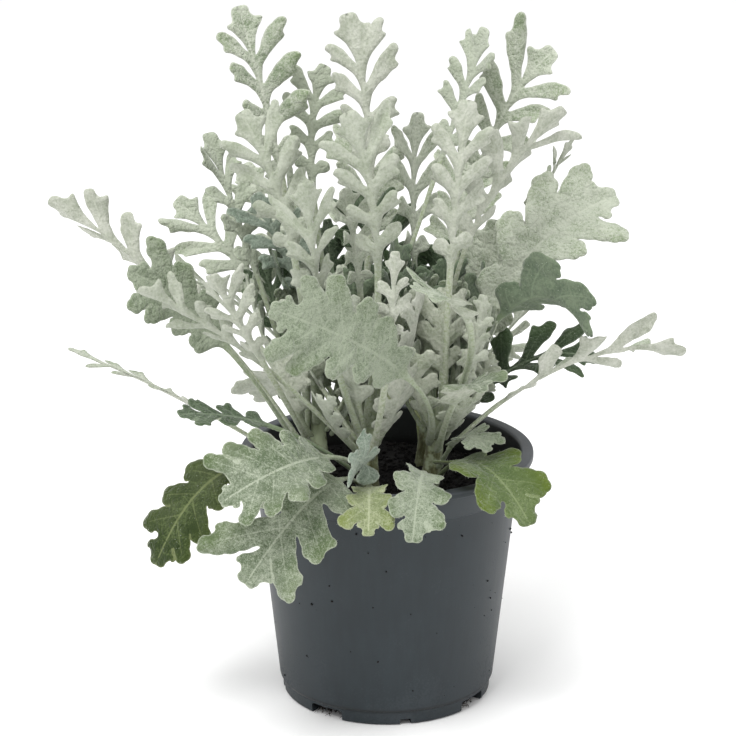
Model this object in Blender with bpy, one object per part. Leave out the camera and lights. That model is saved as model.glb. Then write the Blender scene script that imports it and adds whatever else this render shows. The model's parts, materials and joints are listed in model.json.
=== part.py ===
"""A dusty miller in its nursery pot.

The pot stands on z = 0 with its axis on the origin. Five short stems stand in holes in the potting
soil, and each carries a whorl of stalked, felted, lobed leaves. A leaf is one thin arched solid: its
outline is cut into toothed lobe pairs, and its midrib follows an arc out of the stem.
Sizes are in millimetres and angles in degrees until a mesh is made.
"""

import math
import random
from dataclasses import dataclass

import bmesh
import bpy
import numpy as np
from mathutils import Matrix, Vector
from mathutils.bvhtree import BVHTree
from mathutils.geometry import delaunay_2d_cdt

MM = 0.001
GAP = 0.3

POT_HEIGHT = 104.0
RIM_RADIUS = 60.0
RIM_WIDTH = 4.6
RIM_LIP = 3.2
COLLAR_HEIGHT = 13.5
BODY_TOP_RADIUS = 53.6
BODY_BOTTOM_RADIUS = 44.6
FOOT_RADIUS = 43.2
FOOT_HEIGHT = 5.2
POT_WALL = 1.3
POT_FLOOR = 2.0
POT_SIDES = 36
DRAIN_COUNT = 4
DRAIN_FIRST = -125.0
DRAIN_WIDTH = 15.0
DRAIN_HEIGHT = 4.4
DRAIN_REACH = 9.0
SMALL_DRAIN_WIDTH = 4.6
SMALL_DRAIN_HEIGHT = 2.4

SOIL_TOP = 89.0
SOIL_BUMP = 1.6
SOIL_SIDES = 20
SOIL_RINGS = 4
STEM_SUNK = 10.0
STEM_SIDES = 10
STEM_RINGS = 4

BLADE_THICKNESS = 0.75
STALK_THICKNESS = 1.9
STALK_HALF_WIDTH = 1.3
STALK_BASE_HALF_WIDTH = 1.9
RIB_HEIGHT = 0.7
CLEARANCE = 0.35
ARC_STEPS = 40
LOBE_STAGGER = 0.22
LOWEST_FOOT = 1.6

# The photograph looks down on the plant by this much, from this far, at this point of the pot's frame.
VIEW_TILT = 17.1
VIEW_DISTANCE = 1000.0
VIEW_X = -7.7
VIEW_Z = 138.0


@dataclass(frozen=True)
class Stem:
    """A short woody stem: where it leaves the soil, how tall it is and how it leans."""

    x: float
    y: float
    height: float
    radius: float
    lean: float
    towards: float


STEMS = {
    "a": Stem(-27, -4, 32, 4.4, 7, 110),
    "b": Stem(-7, -18, 34, 4.4, 5, 260),
    "c": Stem(17, -9, 36, 4.4, 8, 330),
    "d": Stem(-10, 14, 44, 4.6, 4, 130),
    "e": Stem(16, 19, 38, 4.4, 7, 50),
}


@dataclass(frozen=True)
class Form:
    """How a blade is cut. Widths and depths are shares of the space between lobes or of a lobe's length."""

    pairs: int
    wing: float
    web: float
    neck: float
    tooth: float
    slant: tuple
    end: float
    curly: float


FORMS = {
    "cut": Form(4, 1.6, 0.0, 0.20, 0.43, (64, 38), 0.27, 0.50),
    "feather": Form(4, 1.5, 0.0, 0.20, 0.42, (60, 36), 0.24, 0.48),
    "broad": Form(4, 2.0, 0.50, 0.48, 0.47, (70, 38), 0.27, 0.14),
    "scalloped": Form(5, 2.0, 0.50, 0.48, 0.47, (76, 40), 0.22, 0.16),
    "oak": Form(3, 2.0, 0.48, 0.42, 0.45, (72, 38), 0.33, 0.10),
    "young": Form(3, 1.2, 0.22, 0.34, 0.44, (66, 34), 0.30, 0.16),
}

# Each lobe's outline, from its side nearest the stalk, over its teeth, to its side nearest the leaf's tip:
# along the lobe as a share of its length, and across it as a share of its half width.
LOBES = {
    "plain": ((0.60, -0.74), (0.93, -0.66), (1.02, 0.20), (0.70, 0.80)),
    "notched": ((0.58, -0.78), (0.86, -1.06), (0.82, -0.25), (1.04, 0.10), (0.90, 0.86)),
    "round": ((0.70, -0.90), (0.94, -0.66), (1.03, 0.00), (0.94, 0.66), (0.70, 0.92)),
    "toothed": ((0.56, -0.74), (0.80, -1.14), (0.80, -0.46), (1.02, -0.36), (1.04, 0.44), (0.70, 0.92)),
}
END_LOBE = ((0.30, 0.36), (0.62, 1.00), (0.66, 0.46), (0.98, 0.40))


@dataclass(frozen=True)
class Leaf:
    """One leaf.

    It leaves its stem at a height, and its tip stands where the photograph shows it: so far across and
    up from the middle of the view, and so far behind the pot's axis. Its midrib bows by that much from
    a straight line, and its upper side faces the way that face points.
    """

    stem: str
    height: float
    across: float
    up: float
    depth: float
    blade: float
    width: float
    form: str
    face: tuple
    bow: tuple = (0, 0, 10)
    fold: float = 14.0
    curl: float = 0.0
    tone: str = "felt"


LEAVES = (
    # The tall leaves at the top and the left.
    Leaf("a", 30, -53, 147, 15, 64, 38, "cut", (0.5, -0.9, 0), (6, 0, 0), 24),
    Leaf("d", 39, -17, 123, 22, 46, 28, "cut", (0, -1, 0.2), (-10, 0, 16)),
    Leaf("a", 22, -52, 104, -12, 58, 36, "cut", (-0.3, 1, 0.2), (9, -8, 14), 24),
    Leaf("a", 26, -64, 100, 24, 58, 28, "cut", (0.6, -0.8, 0), (-4, 0, 14), 26),
    Leaf("d", 25, -40, 84, 34, 50, 32, "cut", (-0.6, -0.8, 0.2), (3, 0, 0)),
    Leaf("a", 14, -130, 68, 0, 78, 36, "feather", (0, 0.8, 0.7), (3, 0, 11), 24),
    Leaf("a", 13, -93, 48, -36, 50, 34, "broad", (-0.2, -1, 0.7), (0, 0, 14), tone="olive"),
    Leaf("b", 20, -95, 33, -48, 58, 28, "feather", (0, 0.9, 1), (-4, -4, 12), 24),
    Leaf("a", 5, -122, 8, 16, 62, 20, "feather", (0, 0.2, 1), (-2, 0, 5)),
    Leaf("b", 11, -77, -19, -58, 36, 20, "young", (0, -0.4, 1), (0, 0, 8), tone="green"),
    # The low leaves that hang over the rim.
    Leaf("a", 2.5, -86, -84, -46, 58, 32, "broad", (-0.6, -1, 0.4), (-4, -8, 22), 10, -0.3, "olive"),
    Leaf("b", 14, -60, -55, -88, 52, 42, "scalloped", (-0.1, -1, 0.8), (6, -10, 14)),
    Leaf("b", 6, -50, -88, -80, 60, 46, "young", (-0.1, -1, 0.5), (6, -12, 22), 10),
    Leaf("b", 11, -8, -36, -70, 26, 26, "young", (0, -1, 0.3), (3, -6, 3), tone="blue"),
    Leaf("b", 2.5, -3, -62, -80, 28, 22, "oak", (-0.1, -0.7, 0.7), (0, -6, 14), tone="yellow"),
    Leaf("c", 3, 18, -71, -84, 42, 26, "oak", (0.1, -1, 0.4), (0, -8, 18)),
    Leaf("c", 7, 66, -64, -66, 56, 36, "oak", (0.2, -0.8, 0.8), (-4, -6, 16), tone="yellow"),
    Leaf("c", 11, 49, -34, -46, 28, 18, "young", (0.1, -0.6, 1), (0, 0, 10)),
    Leaf("c", 14, 47, -14, -66, 34, 26, "oak", (0.2, -0.8, 0.8), (0, -4, 14)),
    # The long leaves to the right.
    Leaf("c", 17, 129, 6, -10, 78, 34, "feather", (0, 0.8, 0.9), (0, 0, 16)),
    Leaf("e", 10, 93, 3, 22, 58, 34, "cut", (0.1, -0.5, 1), (0, 0, 16), tone="green"),
    Leaf("c", 31, 101, 70, 22, 70, 44, "broad", (-0.3, -1, 0.5), (-7, 0, 15)),
    Leaf("e", 21, 90, 18, -28, 46, 40, "oak", (0.8, 0.7, 0.6), (4, 0, 34), 26, tone="green"),
    Leaf("e", 36, 76, 129, 18, 62, 44, "cut", (-0.5, -0.9, 0.2), (-8, 0, 20), 22),
    Leaf("d", 42, -9, 144, 2, 62, 36, "cut", (0.2, 1, 0), (8, -4, 12), 22),
    # The pale midribs and undersides in front.
    Leaf("b", 32, -9, 104, -52, 60, 34, "cut", (0, 1, 0.2), (8, -8, 14), 22),
    Leaf("c", 34, 41, 109, -34, 64, 32, "feather", (0, 1, 0.1), (-2, -8, 8), 22),
    Leaf("e", 33, 80, 115, 2, 66, 38, "feather", (-0.2, 1, 0.3), (-13, -4, 16), 22),
    Leaf("e", 26, 84, 98, 38, 46, 18, "feather", (0, 0.3, 1), (0, 0, 8)),
    Leaf("c", 21, -40, 24, -88, 66, 42, "scalloped", (-0.1, -1, 0.4), (20, -6, 4), 8),
    Leaf("a", 16, -64, 38, -66, 44, 26, "cut", (0.2, 0.9, 0.3), (0, -8, 4), 24),
    Leaf("b", 28, -25, 80, -80, 62, 26, "feather", (-0.3, 0.9, 0), (-4, -6, 0), 24),
    Leaf("d", 30, -10, 73, -40, 46, 24, "cut", (0.5, -0.7, 0), (4, -4, 0), 24),
    Leaf("b", 26, 12, 52, -78, 52, 14, "feather", (0, 1, 0.1), (2, -6, 0)),
    Leaf("c", 24, 18, 32, -92, 38, 26, "young", (-0.1, -0.3, 1), (16, 0, 16)),
    Leaf("c", 27, 47, 34, -30, 42, 14, "feather", (0.3, 1, 0), (2, 0, 0)),
    Leaf("e", 17, 29, 28, -8, 42, 26, "oak", (0, -1, 0.2), (0, 0, 0), tone="green"),
    Leaf("e", 19, 50, 14, -16, 34, 14, "young", (0.3, 1, 0.2), (3, 0, 0)),
    Leaf("a", 17, -44, 50, 26, 44, 24, "cut", (0, -1, 0.3), (0, 0, 4), tone="green"),
    Leaf("d", 33, -32, 76, 12, 46, 30, "cut", (0, -1, 0.4), (0, 0, 4), tone="blue"),
    Leaf("e", 24, 52, 68, 46, 60, 40, "broad", (-0.1, -1, 0.2), (4, 0, 0)),
    # The leaves that fill the middle.
    Leaf("d", 43, 48, 138, 12, 50, 30, "cut", (-0.7, -0.7, 0.1), (4, 0, 12), 22),
    Leaf("e", 31, 20, 104, 30, 60, 38, "cut", (0.7, -0.7, 0.2), (-3, 0, 6)),
    Leaf("e", 27.5, 2, 80, 32, 54, 38, "cut", (0.2, -1, 0.3), (0, 0, 4), tone="green"),
    Leaf("d", 21, -74, 72, 44, 54, 36, "cut", (0.3, -1, 0.4), (0, 0, 8)),
    # The leaves at the back.
    Leaf("d", 17, -78, 36, 76, 64, 36, "cut", (0, 0.6, 1), (0, 0, 14)),
    Leaf("d", 28, -44, 84, 74, 60, 34, "cut", (0.2, -0.6, 1), (0, 6, 0)),
    Leaf("d", 36, 2, 104, 68, 62, 36, "feather", (0, -0.6, 1), (0, 6, 0)),
    Leaf("e", 29, 42, 90, 76, 60, 36, "cut", (-0.2, -0.6, 1), (0, 6, 0)),
    Leaf("e", 14, 82, 42, 74, 62, 34, "feather", (0, 0.4, 1), (0, 0, 14)),
    Leaf("d", 8, -44, -14, 108, 58, 38, "broad", (0, 0.4, 1), (0, 6, 20)),
    Leaf("e", 4, 10, -22, 116, 60, 40, "broad", (0, 0.5, 1), (0, 6, 24), tone="olive"),
    Leaf("e", 7, 54, -4, 104, 58, 36, "cut", (0, 0.4, 1), (0, 4, 20)),
)

TONES = {
    "felt": (0.60, 0.65, 0.56),
    "green": (0.26, 0.33, 0.24),
    "blue": (0.45, 0.53, 0.48),
    "olive": (0.20, 0.25, 0.10),
    "yellow": (0.34, 0.40, 0.13),
}


def lerp(start, end, share):
    """The value that lies this share of the way from start to end."""
    return start + (end - start) * share


def seen_place(across, up, depth):
    """The place that the photograph shows this far across and up from its middle, at this depth."""
    tilt = math.radians(VIEW_TILT)
    rise = up / VIEW_DISTANCE
    height = (rise * (VIEW_DISTANCE + depth * math.cos(tilt)) - depth * math.sin(tilt)) / (
        math.cos(tilt) + rise * math.sin(tilt)
    )
    away = VIEW_DISTANCE + depth * math.cos(tilt) - height * math.sin(tilt)
    return Vector((VIEW_X + across / VIEW_DISTANCE * away, depth, VIEW_Z + height))


def stem_at(stem, height):
    """The stem's axis and radius this far above the soil."""
    lean = math.tan(math.radians(stem.lean)) * height
    towards = math.radians(stem.towards)
    axis = Vector((stem.x + lean * math.cos(towards), stem.y + lean * math.sin(towards), SOIL_TOP + height))
    return axis, stem.radius * lerp(1.0, 0.66, max(0.0, height / stem.height))


class Midrib:
    """The arc from a stem to a leaf's tip, with the leaf's side and upper directions along it."""

    def __init__(self, leaf):
        stem = STEMS[leaf.stem]
        axis, radius = stem_at(stem, leaf.height)
        tip = seen_place(leaf.across, leaf.up, leaf.depth)
        heading = (tip - axis).to_2d().normalized()
        root = axis + Vector((heading.x, heading.y, 0)) * (radius + CLEARANCE + STALK_THICKNESS * 0.5)
        control = root.lerp(tip, 0.5) + Vector(leaf.bow) * 2
        self.points = []
        for n in range(ARC_STEPS + 1):
            share = n / ARC_STEPS
            self.points.append(root.lerp(control, share).lerp(control.lerp(tip, share), share))
        self.lengths = [0.0]
        for before, after in zip(self.points, self.points[1:]):
            self.lengths.append(self.lengths[-1] + (after - before).length)
        self.length = self.lengths[-1]
        self.root = root
        face = Vector(leaf.face).normalized()
        self.frames = []
        for n, point in enumerate(self.points):
            before = self.points[max(0, n - 1)]
            after = self.points[min(ARC_STEPS, n + 1)]
            tangent = (after - before).normalized()
            facing = min(1.0, 1.8 * n / ARC_STEPS)
            inward = Vector((-heading.x, -heading.y, 1.0))
            upper = inward.lerp(face, facing)
            upper = (upper - tangent * upper.dot(tangent)).normalized()
            self.frames.append((point, tangent.cross(upper), upper))

    def at(self, along):
        """The arc's point, side and upper directions at this distance from the stem."""
        along = max(0.0, min(self.length - 1e-4, along))
        n = min(ARC_STEPS - 1, int(np.searchsorted(self.lengths, along, "right")) - 1)
        share = (along - self.lengths[n]) / (self.lengths[n + 1] - self.lengths[n])
        return [a.lerp(b, share) for a, b in zip(self.frames[n], self.frames[n + 1])]


class Plan:
    """A leaf laid flat, with y along its midrib: its outline and the axes of its lobes."""

    def __init__(self, leaf, length, seed):
        self.form = FORMS[leaf.form]
        self.stalk = max(6.0, length - leaf.blade)
        self.blade = length - self.stalk
        self.half = leaf.width / 2
        self.random = random.Random(seed * 101)
        self.lobes = []
        right = self.side(1)
        left = self.side(-1)
        self.loop = right + self.end_lobe() + [(-x, y) for x, y in reversed(left)]

    def lobe_axis(self, index, sign):
        """Where lobe number index leaves the midrib, the angle it makes with it, and its length."""
        form = self.form
        share = (index + (0.0 if sign > 0 else LOBE_STAGGER)) / form.pairs
        root = self.stalk + self.blade * (0.04 + 0.74 * share**0.94)
        slant = math.radians(lerp(form.slant[0], form.slant[1], share))
        swell = 1 - 0.50 * (1 - share) ** 2.4 - 0.26 * share**3
        return root, slant, self.half * swell / math.sin(slant)

    def side(self, sign):
        """The outline of one side, mirrored to positive x, from the stalk's foot to the end lobe."""
        form = self.form
        points = [(STALK_BASE_HALF_WIDTH, 0.0)]
        for share in (0.34, 0.70):
            points.append((STALK_HALF_WIDTH, self.stalk * share))
        points.append((STALK_HALF_WIDTH, self.stalk * 0.98))
        for index in range(form.pairs):
            root, slant, reach = self.lobe_axis(index, sign)
            following, _, _ = self.lobe_axis(index + 1, sign)
            reach *= self.random.uniform(0.80, 1.12)
            slant *= self.random.uniform(0.90, 1.10)
            spread = (following - root) * math.sin(slant)
            fan = math.radians((form.slant[0] - form.slant[1]) / form.pairs)
            half = form.tooth * (spread + 0.8 * reach * fan)
            neck = form.neck * spread
            along = Vector((math.sin(slant), math.cos(slant)))
            across = Vector((-math.cos(slant), math.sin(slant)))
            hub = Vector((0.0, root))
            gap = form.wing / math.sin(slant) + form.web * reach
            self.lobes.append((sign, hub, along, reach))
            kind = "round" if form.web > 0.4 else ("plain", "notched", "toothed")[min(index, 2)]
            if form.web == 0:
                points.append(tuple(hub + along * gap - across * neck))
            for a, b in LOBES[kind]:
                points.append(tuple(hub + along * max(reach * a, gap + 1.0 + a) + across * half * b))
            if form.web == 0:
                points.append(tuple(hub + along * gap + across * neck))
            else:
                points.append(tuple(hub + along * gap + across * spread * 0.5))
        return points

    def end_lobe(self):
        """The lobe at the tip, as points from its right foot over its teeth to its left foot."""
        form = self.form
        start = self.stalk + self.blade * (1 - form.end)
        reach = self.blade * form.end
        half = min(reach * 0.56, self.half * 0.62)
        right = [(half * b, start + reach * a) for a, b in END_LOBE]
        return right + [(-x, y) for x, y in reversed(right)]

    def rib_points(self):
        """The points of the midrib, evenly spaced along the blade."""
        stations = self.form.pairs + 1
        return [(0.0, self.stalk + self.blade * 0.9 * (n + 0.3) / stations) for n in range(stations)]

    def triangles(self):
        """(points, triangles) of the plan, with the midrib's points inside the outline."""
        count = len(self.loop)
        points = [Vector(p) for p in self.loop] + [Vector(p) for p in self.rib_points()]
        edges = [(n, (n + 1) % count) for n in range(count)]
        made = delaunay_2d_cdt(points, edges, [], 1, 1e-5)
        return [tuple(p) for p in made[0]], [tuple(f) for f in made[2]]


class Growth:
    """Bends a leaf's flat plan into the place where it grows."""

    def __init__(self, leaf, seed):
        self.leaf = leaf
        self.midrib = Midrib(leaf)
        self.plan = Plan(leaf, self.midrib.length, seed)
        chance = random.Random(seed * 57 + 11)
        curly = self.plan.form.curly
        self.tilts = [chance.uniform(-curly, curly) for _ in self.plan.lobes]
        self.wave = chance.uniform(0, 2 * math.pi)

    def lift(self, x, y):
        """How far a point stands above the midrib's plane: the fold, the lobes' tilt, the curl and the waves."""
        leaf = self.leaf
        out = abs(x)
        fold = math.tan(math.radians(leaf.fold)) * (math.hypot(out, 2.5) - 2.5)
        weights = tilt = 0.0
        for (sign, hub, along, _), slope in zip(self.plan.lobes, self.tilts):
            if sign * x < 0:
                continue
            away = Vector((out, y)) - hub
            beside = (away - along * away.dot(along)).length
            weight = math.exp(-((beside / 4.0) ** 2))
            weights += weight
            tilt += weight * slope * max(0.0, away.dot(along) - 3.0)
        tilt = tilt / max(weights, 1e-6) * min(1.0, weights)
        curl = leaf.curl * self.plan.half * (out / self.plan.half) ** 2
        side = 1.3 if x > 0 else 0.0
        ripple = 0.5 * math.sin(y / 5.5 + self.wave + side) * min(1.0, out / 8.0)
        return fold + tilt + curl + ripple

    def place(self, x, y):
        """The point of the leaf's middle surface that stands for this point of the plan."""
        centre, side, upper = self.midrib.at(y)
        pull = math.cos(math.radians(self.leaf.fold) * min(1.0, abs(x) / 6.0))
        return centre + side * x * pull + upper * self.lift(x, y)

    def solid(self, extra=0.0):
        """(points, triangles) of the closed solid, both faces split alike, made thicker by extra."""
        plan, faces = self.plan.triangles()
        middle = np.array([self.place(x, y) for x, y in plan])
        normals = np.zeros_like(middle)
        for a, b, c in faces:
            normal = np.cross(middle[b] - middle[a], middle[c] - middle[a])
            for corner in (a, b, c):
                normals[corner] += normal
        normals /= np.linalg.norm(normals, axis=1)[:, None]
        upper = np.empty(len(plan))
        lower = np.empty(len(plan))
        for n, (x, y) in enumerate(plan):
            stalk = min(1.0, max(0.0, (y - self.plan.stalk * 0.9) / (0.16 * self.plan.blade)))
            half = lerp(STALK_THICKNESS, BLADE_THICKNESS, stalk) / 2
            rib = RIB_HEIGHT * lerp(1.0, 0.35, max(0.0, y - self.plan.stalk) / self.plan.blade)
            upper[n] = half + extra
            lower[n] = half + extra + (rib * stalk if abs(x) < 0.01 else 0.0)
        top = middle + normals * upper[:, None]
        bottom = middle - normals * lower[:, None]
        count = len(plan)
        triangles = [(a, b, c) for a, b, c in faces]
        triangles += [(c + count, b + count, a + count) for a, b, c in faces]
        for a, b in boundary(faces):
            triangles += [(b, a, a + count), (b, a + count, b + count)]
        return np.vstack([top, bottom]), triangles


def boundary(faces):
    """The directed edges that belong to one face only."""
    edges = {(f[n], f[(n + 1) % 3]) for f in faces for n in range(3)}
    return [(a, b) for a, b in edges if (b, a) not in edges]


class Placing:
    """Turns each leaf a little about its foot until it crosses nothing that already stands."""

    def __init__(self):
        self.placed = []

    def stand(self, points, triangles):
        """Adds a solid that later leaves keep clear of."""
        tree = BVHTree.FromPolygons([tuple(p) for p in points], triangles)
        self.placed.append((points.min(axis=0), points.max(axis=0), tree))

    def crossings(self, points, triangles, most):
        """How many triangle pairs cross, or most if there are at least that many."""
        low, high = points.min(axis=0), points.max(axis=0)
        tree = None
        found = 0
        for other_low, other_high, other in self.placed:
            if (low > other_high).any() or (high < other_low).any():
                continue
            if tree is None:
                tree = BVHTree.FromPolygons([tuple(p) for p in points], triangles)
            found += len(tree.overlap(other))
            if found >= most:
                return most
        return found

    def settle(self, name, growth):
        """(points, triangles) of the leaf, turned and lifted by the least that clears the rest."""
        points, triangles = growth.solid()
        thick, _ = growth.solid(CLEARANCE * 0.6)
        root = np.array(growth.midrib.root)
        tip = np.array(growth.midrib.points[-1])
        chord = Vector(tip - root).normalized()
        level = chord.cross(Vector((0, 0, 1))).normalized()
        fewest = 10**6
        best = (0, 0, 0, 0)
        leaf = growth.leaf
        for turn in TURNS:
            if not LOWEST_FOOT <= leaf.height + turn[3] <= STEMS[leaf.stem].height:
                continue
            moved = self.turned(thick, root, chord, level, turn)
            found = self.crossings(moved, triangles, fewest)
            if found < fewest:
                fewest, best = found, turn
            if found == 0:
                break
        print(f"{name}: turned {best}, crossings {fewest}")
        points = self.turned(points, root, chord, level, best)
        self.stand(points, triangles)
        return points, triangles

    @staticmethod
    def turned(points, root, chord, level, turn):
        """The points turned about the leaf's foot: sideways, up, and about the leaf's own length."""
        sideways, upwards, rolled, lifted = turn
        matrix = (
            Matrix.Rotation(math.radians(sideways), 3, "Z")
            @ Matrix.Rotation(math.radians(upwards), 3, level)
            @ Matrix.Rotation(math.radians(rolled), 3, chord)
        )
        return (points - root) @ np.array(matrix).T + root + np.array((0, 0, lifted))


def turns_by_size():
    """Every turn that may be tried, the smallest first."""
    found = []
    for sideways in range(-15, 16, 3):
        for upwards in range(-9, 10, 3):
            for rolled in (-30, -20, -10, 0, 10, 20, 30):
                for lifted in (-8, -4, 0, 4, 8):
                    size = abs(sideways) + abs(upwards) * 1.2 + abs(rolled) * 0.3 + abs(lifted)
                    found.append((size, sideways, upwards, rolled, lifted))
    found.sort()
    return [turn[1:] for turn in found]


TURNS = turns_by_size()


def make_object(name, points, faces, color, roughness, smooth=False):
    """A mesh object in metres, from points in millimetres, with a material of its own."""
    mesh = bpy.data.meshes.new(name)
    mesh.from_pydata([tuple(float(c) * MM for c in p) for p in points], [], [tuple(f) for f in faces])
    mesh.update()
    tidy = bmesh.new()
    tidy.from_mesh(mesh)
    bmesh.ops.recalc_face_normals(tidy, faces=tidy.faces)
    tidy.to_mesh(mesh)
    tidy.free()
    for polygon in mesh.polygons:
        polygon.use_smooth = smooth
    material = bpy.data.materials.new(name)
    material.use_nodes = True
    shader = material.node_tree.nodes["Principled BSDF"]
    shader.inputs["Base Color"].default_value = (*color, 1)
    shader.inputs["Roughness"].default_value = roughness
    mesh.materials.append(material)
    made = bpy.data.objects.new(name, mesh)
    bpy.context.scene.collection.objects.link(made)
    return made


def turned_solid(profile, sides, first=0.0):
    """(points, faces) of a closed profile of (radius, height) turned about the z axis."""
    points = []
    faces = []
    rows = []
    for radius, height in profile:
        if radius < 1e-6:
            rows.append([len(points)] * sides)
            points.append((0.0, 0.0, height))
            continue
        rows.append(list(range(len(points), len(points) + sides)))
        for n in range(sides):
            angle = first + 2 * math.pi * n / sides
            points.append((radius * math.cos(angle), radius * math.sin(angle), height))
    for row, following in zip(rows, rows[1:]):
        for n in range(sides):
            m = (n + 1) % sides
            face = [row[n], row[m], following[m], following[n]]
            kept = [v for i, v in enumerate(face) if v not in face[:i]]
            if len(kept) > 2:
                faces.append(kept)
    return points, faces


def cut(target, cutters):
    """Cuts the cutters out of the target for good and removes them."""
    box = bpy.data.collections.new("cutters")
    bpy.context.scene.collection.children.link(box)
    for cutter in cutters:
        bpy.context.scene.collection.objects.unlink(cutter)
        box.objects.link(cutter)
    modifier = target.modifiers.new("cut", "BOOLEAN")
    modifier.operation = "DIFFERENCE"
    modifier.operand_type = "COLLECTION"
    modifier.collection = box
    graph = bpy.context.evaluated_depsgraph_get()
    mesh = bpy.data.meshes.new_from_object(target.evaluated_get(graph))
    target.modifiers.clear()
    target.data = mesh
    for cutter in cutters:
        bpy.data.objects.remove(cutter)
    bpy.data.collections.remove(box)


def block(name, low, high, angle):
    """A cutter: a box turned about the z axis."""
    corners = []
    for z in (low[2], high[2]):
        for x, y in ((low[0], low[1]), (high[0], low[1]), (high[0], high[1]), (low[0], high[1])):
            turned = Matrix.Rotation(math.radians(angle), 3, "Z") @ Vector((x, y, z))
            corners.append(tuple(turned))
    faces = [(0, 3, 2, 1), (4, 5, 6, 7), (0, 1, 5, 4), (1, 2, 6, 5), (2, 3, 7, 6), (3, 0, 4, 7)]
    return make_object(name, corners, faces, (1, 1, 1), 0.5)


def inner_radius(height):
    """The inside radius of the pot's wall at this height."""
    share = (height - FOOT_HEIGHT) / (POT_HEIGHT - COLLAR_HEIGHT - FOOT_HEIGHT)
    return lerp(BODY_BOTTOM_RADIUS, BODY_TOP_RADIUS, share) - POT_WALL


def make_pot():
    """The pot: a foot, a tapered wall, a flared collar and a flat rim, cut by drain notches."""
    collar_foot = POT_HEIGHT - COLLAR_HEIGHT
    lip_foot = POT_HEIGHT - RIM_LIP
    opening = RIM_RADIUS - RIM_WIDTH
    profile = [
        (0, 0),
        (FOOT_RADIUS - 1.0, 0),
        (FOOT_RADIUS, 1.0),
        (FOOT_RADIUS + 0.3, FOOT_HEIGHT),
        (BODY_BOTTOM_RADIUS, FOOT_HEIGHT + 1.2),
        (BODY_TOP_RADIUS, collar_foot),
        (BODY_TOP_RADIUS + 0.9, collar_foot + 0.5),
        (RIM_RADIUS - 1.2, lip_foot),
        (RIM_RADIUS, lip_foot + 0.7),
        (RIM_RADIUS, POT_HEIGHT - 0.7),
        (RIM_RADIUS - 0.7, POT_HEIGHT),
        (opening, POT_HEIGHT),
        (opening - 0.6, POT_HEIGHT - 1.0),
        (inner_radius(collar_foot), collar_foot),
        (inner_radius(POT_FLOOR + 4), POT_FLOOR + 4),
        (FOOT_RADIUS - POT_WALL - 0.6, POT_FLOOR),
        (0, POT_FLOOR),
    ]
    points, faces = turned_solid(profile, POT_SIDES)
    pot = make_object("pot", points, faces, (0.045, 0.055, 0.062), 0.42, True)
    cutters = []
    for n in range(DRAIN_COUNT):
        angle = DRAIN_FIRST + 360 * n / DRAIN_COUNT
        low = (FOOT_RADIUS - DRAIN_REACH, -DRAIN_WIDTH / 2, -2)
        high = (FOOT_RADIUS + 3, DRAIN_WIDTH / 2, DRAIN_HEIGHT)
        cutters.append(block("drain", low, high, angle))
        low = (FOOT_RADIUS - DRAIN_REACH / 2, -SMALL_DRAIN_WIDTH / 2, -2)
        high = (FOOT_RADIUS + 3, SMALL_DRAIN_WIDTH / 2, SMALL_DRAIN_HEIGHT)
        cutters.append(block("small_drain", low, high, angle + 180 / DRAIN_COUNT))
    cut(pot, cutters)
    return pot


def make_soil():
    """The potting soil: a lumpy plug that fills the pot, with a hole for each stem."""
    chance = random.Random(5)
    centre = DRAIN_REACH + 4
    foot = FOOT_RADIUS - centre
    bottom = DRAIN_HEIGHT + 0.8
    edge = SOIL_TOP - 1.2
    profile = [
        (0, POT_FLOOR + GAP),
        (foot, POT_FLOOR + GAP),
        (foot + 2.5, bottom),
        (inner_radius(bottom) - GAP * 3, bottom + 1.5),
        (inner_radius(edge) - GAP * 1.4, edge),
    ]
    rings = SOIL_RINGS
    for n in range(1, rings):
        profile.append((inner_radius(edge) * (1 - n / rings), SOIL_TOP))
    profile.append((0, SOIL_TOP))
    points, faces = turned_solid(profile, SOIL_SIDES)
    lumpy = []
    for x, y, z in points:
        bump = chance.uniform(-1, 1) * SOIL_BUMP if z == SOIL_TOP else 0.0
        lumpy.append((x, y, z + bump))
    soil = make_object("soil", lumpy, faces, (0.012, 0.010, 0.008), 0.95, True)
    cutters = []
    for name, stem in STEMS.items():
        hole = [(0, SOIL_TOP - STEM_SUNK - GAP), (stem.radius + GAP, SOIL_TOP - STEM_SUNK - GAP)]
        hole += [(stem.radius + GAP, SOIL_TOP + 8), (0, SOIL_TOP + 8)]
        hole_points, hole_faces = turned_solid(hole, STEM_SIDES)
        hole_points = [(x + stem.x, y + stem.y, z) for x, y, z in hole_points]
        cutters.append(make_object(f"hole_{name}", hole_points, hole_faces, (1, 1, 1), 0.5))
    cut(soil, cutters)
    return soil


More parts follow.
